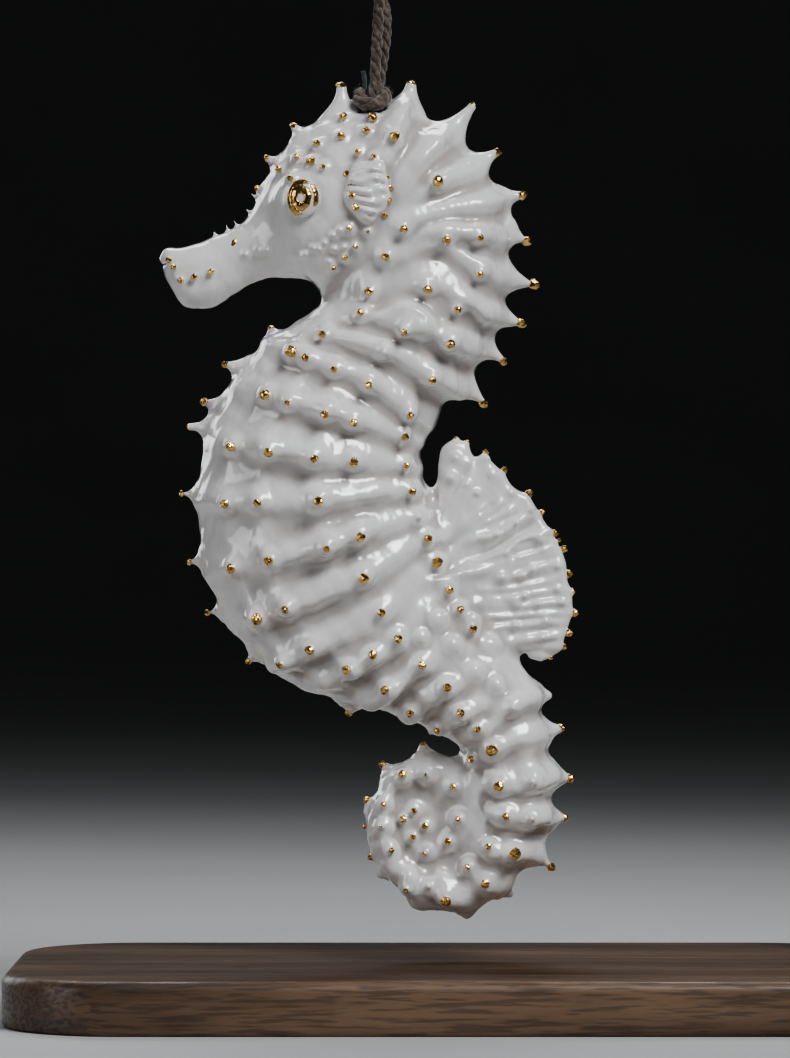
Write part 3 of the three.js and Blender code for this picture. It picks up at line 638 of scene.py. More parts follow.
def ring_relief(places, fraction, spacing):
    """Rise of the rings. Each is as broad and high as its distance from its neighbours lets it be."""
    rise = np.zeros(spacing.shape)
    width = np.clip(RIDGE["width_share"] * spacing, 0.35, RIDGE["width"])
    height = np.minimum(RIDGE["share"] * spacing, RIDGE["height"])
    for ring in RINGS:
        wander = 0.05 * np.sin(7.0 * fraction + 1.7 * ring)
        offset = (places[:, None] - ring_row(ring, fraction) - wander) * spacing
        uneven = 1 + RIDGE["unevenness"] * np.sin(9.0 * fraction + 2.3 * ring)
        side = np.where(offset > 0, RIDGE["lower"], RIDGE["upper"])
        crest = np.exp(-(offset / (width * side)) ** 2)
        trough = RIDGE["trough"] * np.exp(-((offset - 0.45 * spacing) / (0.22 * spacing + 0.1)) ** 2)
        rise += ring_strength(ring, fraction) * uneven * height * (crest - trough)
    return rise * smoothstep(0.8, 2.6, spacing)


def ring_strength(ring, fraction):
    """Share of its height that a ring keeps: less over the throat, by the fin and along the coil."""
    if ring <= HEAD_RINGS_END:
        return 1.1 * smoothstep(0.58, 0.86, fraction)
    if ring <= NECK_RINGS_END:
        return 0.85 * smoothstep(0.36, 0.7, fraction)
    if ring < CHEST_RINGS_START:
        return smoothstep(0.1, 0.4, fraction) * (1 + 0.2 * smoothstep(0.6, 0.9, fraction))
    if ring < BELLY_RINGS_START:
        behind = 1 - 0.55 * smoothstep(0.6, 0.92, fraction)
        return (0.35 + 0.55 * smoothstep(0.15, 0.4, fraction)) * behind
    if ring < TAIL_RINGS_START:
        return smoothstep(-0.03, 0.1, fraction) * (1 - 0.9 * smoothstep(0.3, 0.6, fraction))
    if ring < COIL_RINGS_START:
        behind = 1 + 0.8 * smoothstep(0.6, 0.95, fraction)
        return (0.2 + 0.35 * smoothstep(0.1, 0.4, fraction)) * behind
    coil_share = 0.5 - 0.2 * smoothstep(COIL_RINGS_START, 43, ring)
    return coil_share * (1 - 0.3 * smoothstep(0.8, 1.0, fraction))


def flank_warts():
    """Row, fraction and width of the gold of every wart of the neck, trunk and tail."""
    on_rings = [(ring_row(ring, fraction), fraction, width)
                for ring, warts in RING_WARTS.items() for fraction, width in warts]
    return NECK_WARTS + on_rings


def hill_relief(points):
    """Swellings under the warts."""
    rise = np.zeros(points.shape[:2])
    left = points * (1, 0, 1) - np.abs(points) * (0, 1, 0)
    for row, fraction, _ in flank_warts():
        centre, _ = left_skin(row, fraction)
        off = (left - centre - (0, 0, HILL["lift"])) * (1, 1, HILL["flatness"])
        rise += HILL["height"] * np.exp(-(off ** 2).sum(-1) / HILL["radius"] ** 2)
    return rise


def long_relief(points, places, fraction):
    """Low ridges that run along the body."""
    rise = np.zeros(points.shape[:2])
    breadth = np.linalg.norm(rows_at(places)[:, 0:2] - rows_at(places)[:, 2:4], axis=1)[:, None]
    for at, height, first, last in LONG_RIDGES:
        offset = (fraction - at) * breadth / np.maximum(2 * np.sqrt(at * (1 - at)), 0.4)
        fade = smoothstep(first, first + 1.5, places) * (1 - smoothstep(last - 1.5, last, places))
        rise += height * fade[:, None] * np.exp(-(offset / LONG_RIDGE_WIDTH) ** 2)
    return rise


def skin_sheet(places, angles):
    """The sweep with its rings, long ridges and wart hills raised, as a grid of points."""
    points = bare_skin(places, angles)
    along = np.gradient(points, places, axis=0)
    spacing = np.linalg.norm(along, axis=-1)
    normals = np.cross(along, np.roll(points, -1, 1) - np.roll(points, 1, 1))
    normals /= np.maximum(np.linalg.norm(normals, axis=-1, keepdims=True), 1e-9)
    outward = (normals * (points - points.mean(1, keepdims=True))).sum(-1).sum(1)
    normals *= np.sign(outward)[:, None, None]
    fraction = ((1 - np.cos(angles)) / 2)[None, :]
    rise = ring_relief(places, fraction, spacing)
    rise = rise + long_relief(points, places, fraction) + hill_relief(points)
    ringed = smoothstep(14.2, 15.5, places) * (1 - smoothstep(45, 47.5, places))
    rise -= (RIDGE["sink"] * ringed)[:, None]
    return points + normals * rise[..., None]


# ----- A field of distances to the porcelain, for the left half; the right half mirrors it -----

VOXEL = 0.16
BAND = 2.4                          # distances are kept up to this far from a surface
FIELD_LOW = (-35.5, -12.0, 8.0)
FIELD_HIGH = (16.5, 0.0, 108.0)


def level_set(points, quads, reach):
    return vdb.FloatGrid.createLevelSetFromPolygons(
        np.asarray(points, np.float32), quads=np.asarray(quads, np.uint32),
        transform=vdb.createLinearTransform(voxelSize=VOXEL), halfWidth=reach / VOXEL)


def index_triple(index):
    return tuple(int(i) for i in index)


class Field:
    """Signed distances on a grid of voxels. The grid's last layer in y is the mirror plane."""

    def __init__(self, low, high):
        self.low = np.floor(np.array(low) / VOXEL).astype(int)
        self.high = np.ceil(np.array(high) / VOXEL).astype(int)
        self.high[1] = 0
        self.values = np.full(self.high - self.low + 1, BAND, np.float32)

    def window(self, points, margin):
        """The slices round some points, and the voxels' places there."""
        points = np.atleast_2d(points)
        first = np.maximum(np.floor((points.min(0) - margin) / VOXEL).astype(int), self.low)
        last = np.minimum(np.ceil((points.max(0) + margin) / VOXEL).astype(int), self.high)
        cut = tuple(slice(a, b + 1) for a, b in zip(first - self.low, last - self.low))
        axes = [np.arange(a, b + 1) * VOXEL for a, b in zip(first, last)]
        return cut, np.stack(np.meshgrid(*axes, indexing="ij"), -1)

    def join(self, cut, distance, blend=0.0):
        here = self.values[cut]
        joined_up = np.minimum(here, distance)
        if blend:
            joined_up -= np.maximum(blend - np.abs(here - distance), 0) ** 2 / (4 * blend)
        self.values[cut] = joined_up

    def carve(self, cut, distance, blend):
        here = self.values[cut]
        near = np.maximum(blend - np.abs(here + distance), 0) ** 2 / (4 * blend)
        self.values[cut] = np.maximum(here, -distance) + near

    def join_mesh(self, points, quads, blend=0.0):
        values = np.full(self.values.shape, BAND, np.float32)
        level_set(points, quads, BAND).copyToArray(values, ijk=index_triple(self.low))
        self.join(..., values, blend)

    def whole(self):
        return np.concatenate([self.values, self.values[:, -2::-1]], axis=1)

    def surface(self, offset=0.0):
        """Points and quads of the surface at an offset, both sides."""
        grid = vdb.FloatGrid(BAND)
        grid.copyFromArray(self.whole(), ijk=index_triple(self.low), tolerance=0.0)
        grid.transform = vdb.createLinearTransform(voxelSize=VOXEL)
        points, _, quads = grid.convertToPolygons(isovalue=offset, adaptivity=0.0)
        return points.astype(float), quads.astype(int)

    def glaze(self, radius):
        """Fills creases as pooled glaze does, with fillets of a radius."""
        points, quads = self.surface(radius)
        reach = radius + 4 * VOXEL
        values = np.full(self.values.shape, reach, np.float32)
        level_set(points, quads, reach).copyToArray(values, ijk=index_triple(self.low))
        self.values = np.minimum(self.values, values + radius)

    def value(self, points):
        return sample(self.values, self.low, np.asarray(points, float))[0]

    def land(self, start, direction, reach):
        """Where a line from a point inwards first meets the skin, within a reach."""
        steps = np.arange(0, reach, 0.03)
        line = np.asarray(start)[None] + steps[:, None] * np.asarray(direction)[None]
        inside = np.flatnonzero(self.value(line) < 0)
        return line[inside[0]] if len(inside) else line[0]

    def flank(self, x, z):
        """The point of the left flank at x, z, and its outward normal."""
        point = self.land((x, -11.5, z), (0, 1, 0), 11.5)
        _, slope = sample(self.values, self.low, point[None])
        return point, unit(slope[0])


def sample(values, low, points):
    """Value and slope of a grid at points, by trilinear interpolation."""
    where = points / VOXEL - low
    base = np.clip(np.floor(where).astype(int), 0, np.array(values.shape) - 2)
    f = where - base
    weight = [(1 - f[:, a], f[:, a]) for a in range(3)]
    value = np.zeros(len(points))
    slope = np.zeros((len(points), 3))
    for i in (0, 1):
        for j in (0, 1):
            for k in (0, 1):
                corner = values[base[:, 0] + i, base[:, 1] + j, base[:, 2] + k].astype(float)
                value += corner * weight[0][i] * weight[1][j] * weight[2][k]
                slope[:, 0] += corner * (2 * i - 1) * weight[1][j] * weight[2][k]
                slope[:, 1] += corner * weight[0][i] * (2 * j - 1) * weight[2][k]
                slope[:, 2] += corner * weight[0][i] * weight[1][j] * (2 * k - 1)
    return value, slope / VOXEL


ROW_STEP = 0.04                     # rows between the body's cross-sections
BODY_SIDES = 112


def body_tube(start, end):
    """A closed length of the body, as points and quads."""
    sides = BODY_SIDES
    places = np.linspace(start, end, int(round((end - start) / ROW_STEP)) + 1)
    angles = np.linspace(0, 2 * math.pi, sides, endpoint=False)
    points = skin_sheet(places, angles)
    flat = np.vstack([points.reshape(-1, 3), points[[0, -1]].mean(1)])
    quads = [grid_quads(len(places), sides, True)]
    for end_row, centre in ((0, len(flat) - 2), (len(places) - 1, len(flat) - 1)):
        ring = end_row * sides + np.arange(sides)
        hub = np.full(sides, centre)
        quads.append(np.stack([ring, end_row * sides + (np.arange(sides) + 1) % sides, hub, hub], -1))
    return flat, np.vstack(quads)


def add_spike(field, base, tip, foot, point_radius, blend, flare=1.9, depth=1.0):
    """Joins a spike that flares from point_radius at its tip to foot at its base on the skin."""
    cut, at = field.window(np.array((base, tip)), foot + BAND)
    axis = tip - base
    height = np.linalg.norm(axis)
    share = np.clip(((at - base) @ axis) / height ** 2, -depth / height, 1)
    line = base + share[..., None] * axis
    radius = point_radius + (foot - point_radius) * (1 - np.maximum(share, 0)) ** flare
    field.join(cut, (np.linalg.norm(at - line, axis=-1) - radius) * 0.85, blend)


def add_blob(field, centre, radii, blend):
    """Joins an ellipsoid."""
    radii = np.asarray(radii, float)
    cut, at = field.window(np.array((centre - radii, centre + radii)), BAND)
    scaled = np.linalg.norm((at - centre) / radii, axis=-1)
    field.join(cut, (scaled - 1) * radii.min(), blend)


# The coil is joined on a small grid of its own first, where a large fillet closes it to a disc.
TURN_PARTINGS = (44.5, 54.5)
OVERLAP = 0.2
# Each web of the coil: x, z place, then half width, half height and half depth.
COIL_WEBS = [(-3.0, 21.2, 5.6, 5.6, 2.0), (2.8, 21.8, 3.1, 6.2, 3.6)]
CROTCH_WEB = (2.7, 25.9, 2.3, 3.2, 3.9)     # the same, where the coil's first turn meets the tail
WEB_BLEND = 0.8
COIL_GLAZE = 1.5
COIL_DISC = (6.4, 8.4)              # the coil's glaze fades out between these distances from its centre
BODY_GLAZE = 0.7


def join_turns(field, first):
    ends = (first, *TURN_PARTINGS, LAST_ROW)
    for start, end in zip(ends, ends[1:]):
        field.join_mesh(*body_tube(start, min(end + OVERLAP, LAST_ROW)))


def add_web(field, x, z, half_width, half_height, half_depth):
    add_blob(field, mid_plane(x, z), (half_width, half_depth, half_height), WEB_BLEND)


def coil_field():
    """The coil with its turns closed by webs and glaze; further out its distances are pushed away."""
    coil = Field((-14, -7, 8), (16.5, 0, 42))
    join_turns(coil, 31.0)
    for web in COIL_WEBS:
        add_web(coil, *web)
    coil.glaze(COIL_GLAZE)
    axes = [np.arange(a, b + 1) * VOXEL for a, b in zip(coil.low, coil.high)]
    off = np.hypot(axes[0][:, None] - COIL_CENTRE[0], axes[2][None, :] - COIL_CENTRE[1])
    coil.values += (BAND * smoothstep(*COIL_DISC, off))[:, None, :]
    return coil


def body_field():
    field = Field(FIELD_LOW, FIELD_HIGH)
    join_turns(field, 0.0)
    coil = coil_field()
    cut = tuple(slice(a, a + n) for a, n in zip(coil.low - field.low, coil.values.shape))
    field.join(cut, np.minimum(coil.values, BAND))
    add_web(field, *CROTCH_WEB)
    return field


# ----- Spines -----

# Spines on the outline: row, tip x, tip z, foot radius, tip radius, flare, length of gold on the tip.
BACK_SPINES = [
    (7.1, -22.0, 93.9, 0.6, 0.12, 1.8, 0.5), (8.2, -20.9, 97.4, 1.0, 0.16, 1.8, 0.7),
    (9.3, -17.9, 101.1, 1.4, 0.22, 1.8, 0.85), (11, -12.4, 105.7, 1.9, 0.5, 1.35, 0.7),
    (13, -4.4, 105.9, 2.3, 0.42, 1.25, 0.6), (14, 2.6, 103.4, 2.2, 0.26, 1.3, 0.75),
    (14.9, 5.5, 98.1, 1.6, 0.24, 1.6, 0.95), (16, 8.4, 93.2, 1.6, 0.25, 1.6, 1.15),
    (16.8, 8.9, 87.8, 1.6, 0.25, 1.6, 1.1), (17.9, 9.9, 82.9, 1.7, 0.26, 1.5, 1.4),
    (19.0, 8.3, 78.5, 1.6, 0.25, 1.6, 1.25), (19.8, 6.2, 74.1, 1.6, 0.25, 1.5, 0.95),
    (20.7, 3.9, 69.3, 1.5, 0.22, 1.5, 0.9), (33, 11.4, 36.2, 1.2, 0.2, 1.6, 0.0),
    (34, 12.7, 32.5, 1.4, 0.24, 1.6, 1.0), (35, 13.8, 26.8, 1.5, 0.25, 1.6, 1.15),
    (36.05, 13.1, 22.3, 1.4, 0.22, 1.6, 0.8), (37, 11.6, 16.6, 1.5, 0.22, 1.6, 0.95),
    (38, 7.0, 13.4, 1.4, 0.22, 1.6, 0.0), (39, 2.0, 11.0, 0.8, 0.3, 1.5, 0.0),
    (41, -8.3, 15.6, 0.8, 0.16, 1.6, 0.0),
    (41.8, -9.1, 17.8, 0.8, 0.18, 1.6, 0.9), (42.7, -9.6, 21.2, 0.8, 0.16, 1.6, 0.4),
    (43.4, -9.9, 23.0, 0.9, 0.16, 1.6, 0.0), (44, -9.6, 24.3, 0.9, 0.2, 1.6, 0.85),
    (45, -7.7, 28.4, 1.1, 0.2, 1.6, 0.85), (46, -3.1, 30.6, 1.1, 0.2, 1.6, 0.75),
]
FRONT_SPINES = [
    (21.4, -20.4, 78.0, 0.8, 0.2, 1.6, 0.6), (22.6, -25.7, 73.9, 1.0, 0.2, 1.6, 0.75),
    (23.5, -28.1, 69.6, 1.0, 0.2, 1.6, 0.85), (24, -29.7, 66.8, 1.1, 0.16, 1.7, 0.4),
    (25.1, -30.5, 59.2, 1.4, 0.15, 1.7, 0.4), (26.1, -29.7, 51.4, 1.4, 0.15, 1.7, 0.5),
    (27.1, -27.7, 45.6, 1.4, 0.15, 1.7, 0.5), (28.1, -23.0, 40.1, 1.2, 0.18, 1.6, 0.6),
    (29.95, -11.5, 34.2, 1.1, 0.22, 1.6, 0.85),
]


# Regions that share one piece of gold each: name and last row.
REGIONS = [("head", 14.2), ("neck", 21.2), ("trunk", 31.5), ("tail", 37.5), ("coil", math.inf)]


def region_of(row):
    return next(name for name, last in REGIONS if row < last)


# Gold to be laid on: region, middle, axis, half width, half length.
gold = []
# Spine tips to be gilt: region, tip, direction, length of the gold, tip radius.
caps = []


def add_outline_spines(field):
    for spines, back in ((BACK_SPINES, True), (FRONT_SPINES, False)):
        for row, tip_x, tip_z, foot, point_radius, flare, cap in spines:
            ends = rows_at(np.array([float(row)]))[0]
            skin = mid_plane(*(ends[2:4] if back else ends[0:2]))
            tip = mid_plane(tip_x, tip_z)
            out = unit(tip - skin)
            add_spike(field, skin, tip - point_radius * out, foot, point_radius, 0.8, flare, depth=foot)
            if cap:
                caps.append((region_of(row), tip, out, cap, point_radius))


def cap_spines(field):
    """Lays the gold over the spines' tips, where the finished skin has them."""
    for region, tip, out, length, point_radius in caps:
        end = field.land(tip + 1.2 * out, -out, 2.4)
        half_width = max(0.27 + 0.24 * length, point_radius + 0.14)
        middle = end - (0.43 * length - 0.12) * out
        gold.append((region, middle, out, half_width, 0.52 * length + 0.06))


# ----- Fins -----

# Dorsal fin: a wedge whose rays fan from a root deep in the back to the knots of its free edge.
FIN_ROOT = [
    (-2.2, 53.5), (-4.6, 50.6), (-6.0, 47.8), (-5.7, 46.5), (-5.2, 45.4), (-4.5, 44.3), (-3.4, 43.2),
]
FIN_EDGE = [
    (-1.3, 62.6), (-0.9, 64.4), (0.6, 65.2), (1.8, 64.8), (2.9, 63.4), (3.9, 63.7), (4.9, 62.7),
    (6.0, 61.7), (7.1, 60.0), (8.8, 59.1), (9.6, 58.0), (10.2, 57.0), (10.9, 55.8), (11.7, 54.6),
    (12.2, 53.8),
    (12.7, 52.8), (13.1, 51.4), (13.2, 50.0), (13.4, 49.0), (13.6, 48.0), (13.7, 46.8), (13.9, 45.6),
    (13.6, 44.5), (13.2, 43.4), (13.0, 42.5), (12.7, 41.8), (12.2, 41.0), (11.2, 40.6), (9.9, 41.1),
    (8.0, 41.3),
]
FIN = {
    "edge_half": 0.75, "wedge": 0.19, "rounding": 1.6, "columns": 8, "rows": 96, "blend": 2.0,
    "fold_relief": 0.95, "lump_relief": 1.3,
}
# Gold along the free edge: number of the knot, and width.
FIN_GOLD = {
    2: 0.65, 3: 0.65, 5: 0.8, 7: 0.9, 9: 1.0, 11: 0.8, 13: 0.9, 14: 0.5, 15: 0.95, 17: 1.05, 19: 0.9,
    21: 1.0, 23: 1.1, 25: 0.85, 27: 0.6,
}
# Ribs (raised) and grooves (sunk) of the fin: height, half width, and the x, z points of their route.
FIN_FOLDS = [
    (0.3, 0.9, [(0.5, 54.5), (4.0, 56.8), (6.7, 58.9)]),
    (-0.16, 0.28, [(3.2, 56.6), (5.1, 58.3)]),
    (-0.2, 0.3, [(3.9, 56.0), (7.1, 58.3)]),
    (0.16, 0.6, [(1.7, 54.5), (4.8, 56.0), (8.5, 58.6)]),
    (-0.16, 0.3, [(2.8, 55.0), (6.2, 56.3), (8.5, 57.2)]),
    (0.65, 0.6, [(1.5, 52.8), (2.8, 54.0), (5.4, 54.4), (7.5, 55.8), (9.1, 57.3)]),
    (-0.8, 0.5, [(1.2, 51.8), (4.0, 52.5), (6.2, 53.8), (8.5, 55.3), (10.1, 56.4)]),
    (0.5, 0.45, [(1.0, 51.0), (4.0, 51.9), (6.5, 52.8), (7.7, 53.9), (10.2, 54.5), (11.3, 55.0)]),
    (-0.35, 0.4, [(6.2, 51.9), (8.4, 52.6), (10.8, 53.3)]),
    (0.25, 0.4, [(6.9, 51.8), (9.1, 52.4), (12.0, 53.2)]),
    (0.75, 0.8, [(-3.7, 49.3), (-0.9, 49.2), (1.4, 50.1), (3.4, 50.4), (6.2, 51.4)]),
    (-0.2, 0.4, [(6.8, 50.4), (8.5, 50.8), (10.5, 51.5), (12.5, 52.0)]),
    (0.27, 0.48, [(6.5, 49.8), (8.1, 49.9), (9.8, 50.8), (12.8, 51.5)]),
    (-0.24, 0.46, [(3.2, 48.4), (6.9, 48.9), (8.5, 49.3), (10.9, 49.8), (12.6, 50.3)]),
    (0.17, 0.46, [(1.9, 48.1), (4.8, 48.4), (7.7, 48.5), (10.2, 49.1), (12.9, 49.6)]),
    (-0.17, 0.4, [(3.7, 47.6), (6.8, 47.9), (9.2, 48.2), (12.3, 48.7)]),
    (0.24, 0.44, [(5.7, 47.1), (7.7, 47.5), (9.5, 48.0), (12.6, 48.2)]),
    (-0.2, 0.44, [(5.8, 46.0), (8.5, 46.9), (11.2, 47.4), (13.3, 47.5)]),
    (0.27, 0.48, [(7.2, 46.1), (9.9, 46.6), (11.6, 46.9), (13.7, 46.7)]),
    (-0.2, 0.44, [(3.9, 45.8), (6.8, 45.8), (10.5, 46.1), (13.4, 46.1)]),
    (0.17, 0.37, [(3.4, 45.2), (6.9, 45.2), (10.5, 45.5), (13.6, 45.5)]),
    (-0.27, 0.41, [(3.4, 44.6), (6.5, 44.7), (9.4, 44.9), (13.2, 45.1)]),
    (0.26, 0.48, [(4.8, 44.0), (7.2, 44.2), (9.1, 44.4), (11.2, 44.6), (13.3, 44.5)]),
    (-0.2, 0.44, [(5.5, 42.9), (7.7, 43.2), (10.5, 43.7), (13.0, 43.9)]),
    (0.24, 0.48, [(6.2, 42.3), (9.1, 42.7), (11.2, 42.9), (13.0, 43.2)]),
    (-0.15, 0.37, [(9.2, 42.1), (12.6, 42.4)]),
]
FIN_REACH = ((-6, 39.5), (20, 66.5))    # corners of the area that the folds lie in
# Small lumps of the fin: x, z, radius, height.
FIN_LUMPS = [
    (0.0, 60.9, 0.7, 0.5), (0.6, 63.2, 0.6, 0.35), (3.0, 59.2, 0.4, 0.35), (6.9, 59.2, 0.5, 0.25),
    (9.1, 57.4, 0.4, 0.3), (5.2, 54.5, 0.4, 0.25), (7.4, 55.8, 0.35, 0.25), (6.5, 52.2, 0.38, 0.3),
    (5.8, 49.6, 0.7, 0.55), (9.3, 50.6, 0.55, 0.35), (8.1, 49.8, 0.4, 0.25), (10.2, 53.8, 0.5, 0.35),
    (11.3, 55.1, 0.45, 0.25), (7.4, 46.6, 0.6, 0.45), (8.4, 47.5, 0.4, 0.25), (3.2, 46.6, 0.9, 0.25),
    (9.9, 46.6, 0.4, 0.25), (10.8, 44.8, 0.5, 0.35), (7.3, 44.3, 0.4, 0.25), (12.1, 48.4, 0.4, 0.25),
    (12.6, 46.8, 0.4, 0.2), (2.0, 62.6, 0.7, 0.25), (4.6, 61.4, 0.6, 0.2), (10.4, 42.9, 0.5, 0.25),
    (12.2, 50.9, 0.4, 0.25), (1.9, 60.2, 0.5, 0.2), (4.2, 63.2, 0.4, 0.3),
]


def fin_plate():
    """The fin as a closed plate, thin at its rounded edges and thick at its root."""
    gaps = len(FIN_EDGE) - 1
    u = np.linspace(0, 1, gaps * FIN["columns"] + 1)
    v = np.linspace(0, 1, FIN["rows"] + 1)
    root = curve(FIN_ROOT, u)
    ray = curve(FIN_EDGE, u) - root
    xz = root[:, None] + ray[:, None] * v[None, :, None]
    inset = np.linalg.norm(ray, axis=1)[:, None] * (1 - v[None, :])
    half = FIN["edge_half"] + FIN["wedge"] * inset
    for end in (0, -1):
        along = unit(ray[end])
        off = xz - root[end]
        beside = np.abs(off[..., 0] * along[1] - off[..., 1] * along[0])
        half = half * np.sqrt(np.maximum(1 - (1 - np.clip(beside / FIN["rounding"], 0, 1)) ** 2, 0.03))
    half = half * np.sqrt(np.maximum(1 - (1 - np.clip(inset / 0.75, 0, 1)) ** 2, 0.03))
    sides = [np.stack([xz[..., 0], side * half, xz[..., 1]], -1).reshape(-1, 3) for side in (-1, 1)]
    columns = len(v)
    one = grid_quads(len(u), columns, False)
    count = len(u) * columns
    rim = np.concatenate([
        np.arange(columns), np.arange(1, len(u)) * columns + columns - 1,
        (len(u) - 1) * columns + np.arange(columns - 2, -1, -1), np.arange(len(u) - 2, 0, -1) * columns,
    ])
    after = np.roll(rim, -1)
    band = np.stack([rim, after, after + count, rim + count], -1)
    return np.vstack(sides), np.vstack([one, one[:, ::-1] + count, band])


def add_dorsal_fin(field):
    """Joins the fin, with a tooth and its gold at every gilt knot of the edge."""
    field.join_mesh(*fin_plate(), blend=FIN["blend"])
    gaps = len(FIN_EDGE) - 1
    for number, width in FIN_GOLD.items():
        tip = curve(FIN_EDGE, number / gaps)
        out = unit(tip - curve(FIN_ROOT, number / gaps))
        tip, out = mid_plane(*tip), mid_plane(*out)
        add_spike(field, tip - 0.8 * out, tip + 0.15 * out, 0.7, 0.25, 0.4, 1.3)
        gold.append(("fin", tip + 0.2 * out, out, width * 0.46, width * 0.5))


def fold_height(points):
    """Height of the fin's ribs, grooves and lumps at points of the skin."""
    xz = points[:, [0, 2]]
    rise = np.zeros(len(points))
    low, high = FIN_REACH
    near = np.flatnonzero(((xz > low) & (xz < high)).all(1))
    here = xz[near]
    total = np.zeros(len(near))
    for height, width, route in FIN_FOLDS:
        line = curve(route, np.linspace(0, 1, 4 * len(route)))
        nearest = np.full(len(near), 1e9)
        share = np.zeros(len(near))
        for i, (a, b) in enumerate(zip(line, line[1:])):
            t = np.clip((here - a) @ (b - a) / ((b - a) @ (b - a)), 0, 1)
            distance2 = ((here - a - t[:, None] * (b - a)) ** 2).sum(1)
            closer = distance2 < nearest
            nearest = np.where(closer, distance2, nearest)
            share = np.where(closer, (i + t) / (len(line) - 1), share)
        fade = smoothstep(-0.02, 0.22, share) * (1 - 0.8 * smoothstep(0.7, 1.0, share))
        total += FIN["fold_relief"] * height * fade * np.exp(-nearest / width ** 2)
    for x, z, radius, height in FIN_LUMPS:
        total += FIN["lump_relief"] * height * np.exp(-(((here - (x, z)) ** 2).sum(1) / radius ** 2))
    rise[near] = total
    return rise


# Each pectoral fin is an oval pad of wavy ribs on the cheek.
PECTORAL = {
    "x": -9.4, "z": 93.25, "half_width": 2.5, "half_height": 3.7, "rise": 1.3,
    "rib": 0.24, "pitch": 1.15,
}
# Gold round its edge: x, z, width.
PECTORAL_GOLD = [
    (-11.7, 95.1, 0.8), (-11.35, 93.8, 0.5), (-11.1, 92.6, 0.85), (-10.7, 91.3, 0.85),
    (-7.2, 94.7, 0.55), (-6.85, 93.5, 0.8), (-7.0, 92.1, 0.7), (-7.4, 90.4, 0.65),
]


def add_pectoral(field):
    """Raises the fin's pad and its ribs over the cheek, straight out to the side."""
    p = PECTORAL
    corners = np.array([
        (p["x"] - p["half_width"], -11.0, p["z"] - p["half_height"]),
        (p["x"] + p["half_width"], -4.0, p["z"] + p["half_height"]),
    ])
    cut, at = field.window(corners, 0.8)
    here = field.values[cut]
    x = at[:, 0, :, 0]
    z = at[:, 0, :, 2]
    across = (x - p["x"]) / p["half_width"]
    up = (z - p["z"]) / p["half_height"]
    edge = np.sqrt(across ** 2 + up ** 2) + 0.05 * np.sin(5 * np.arctan2(up, across))
    pad = p["rise"] * np.sqrt(np.clip(1 - edge ** 4, 0, 1)) * (1 - 0.25 * across ** 2)
    waver = 1.2 * np.sin(3.1 * across + 0.9 * z) + 0.7 * across
    phase = 2 * math.pi * (z - p["z"]) / p["pitch"] + waver
    ribs = p["rib"] * np.cos(phase) * (1 - smoothstep(0.75, 1.0, edge))
    ribs = ribs * (0.7 + 0.4 * np.cos(5 * across + 1.3 * z))
    crown = pad + ribs - 0.5 * smoothstep(0.98, 1.12, edge)
    skin = np.argmax(here < 0, axis=1)
    surface = at[0, :, 0, 1][skin]
    distance = (surface - crown)[:, None, :] - at[..., 1]
    field.join(cut, np.clip(distance * 0.9, -BAND, BAND), 0.5)


# ----- Warts and dots -----

WART = {"height": 0.7, "foot": 0.85, "tip": 0.3, "blend": 1.0}
SMALL_WART = {"height": 0.5, "foot": 0.75, "tip": 0.26, "blend": 0.7}
POINT = {"height": 0.36, "foot": 0.52, "tip": 0.18, "blend": 0.45}
SHOULDER_WART = {"height": 1.5, "foot": 2.4, "tip": 0.55, "blend": 1.6}
SHOULDER = (19.75, 0.55, 0.75)          # row, fraction, width of the gold
# Warts lean away from the body's middle plane: this is added to the skin's normal.
WART_LEAN = (0, -1.2, 0)
AIM_STEPS = 5                           # tries to bring a wart's tip to its place
AIM_SHARE = 0.8                         # share of the miss that each try makes good
# Half width and half length of a wart's gold, as shares of its width.
WART_GOLD = (0.63, 0.58)

# Dots of the head and the snout: row, fraction from front to back, width of the gold.
HEAD_DOTS = [
    (11.1, 0.98, 0.7), (11.1, 0.89, 0.75), (10.0, 0.9, 0.65), (9.1, 0.9, 0.6), (9.7, 0.83, 0.85),
    (10.3, 0.77, 0.5), (8.2, 0.95, 0.65), (8.6, 0.83, 0.6), (12.1, 0.96, 0.95), (12.0, 0.9, 0.75),
    (11.9, 0.8, 0.6), (12.6, 0.77, 0.5), (13.0, 0.88, 1.0), (12.8, 0.41, 0.55), (13.8, 0.41, 0.35),
    (13.7, 0.32, 0.5), (13.5, 0.25, 0.6), (12.9, 0.19, 0.5),
]
SNOUT_DOTS = [
    (1.1, 0.73, 0.6), (1.5, 0.63, 0.6), (1.9, 0.43, 0.6), (2.6, 0.51, 0.65), (3.3, 0.52, 0.65),
]
NOSTRIL = (-24.5, 87.7)
NOSTRIL_GOLD = (0.34, 0.62)             # half width and half length
# Small thorns on the forehead's ridge: x, z of the foot and of the tip.
THORNS = [
    (-26.5, 88.0, -26.9, 89.0), (-25.2, 88.6, -25.5, 89.8), (-24.1, 89.3, -24.7, 90.4),
    (-22.5, 90.9, -23.4, 91.7), (-21.6, 92.6, -22.7, 93.3),
]
THORN = {"foot": 0.4, "tip": 0.1, "blend": 0.3}
# White points of the cheek: x, z.
WHITE_POINTS = [
    (-17.0, 86.2), (-15.6, 87.1), (-14.3, 87.7), (-13.3, 88.6), (-12.6, 89.2), (-13.8, 85.6),
    (-16.4, 86.4), (-20.9, 86.9), (-21.8, 86.9), (-23.3, 86.4), (-14.9, 87.0), (-12.0, 87.2),
    (-13.2, 87.0),
]

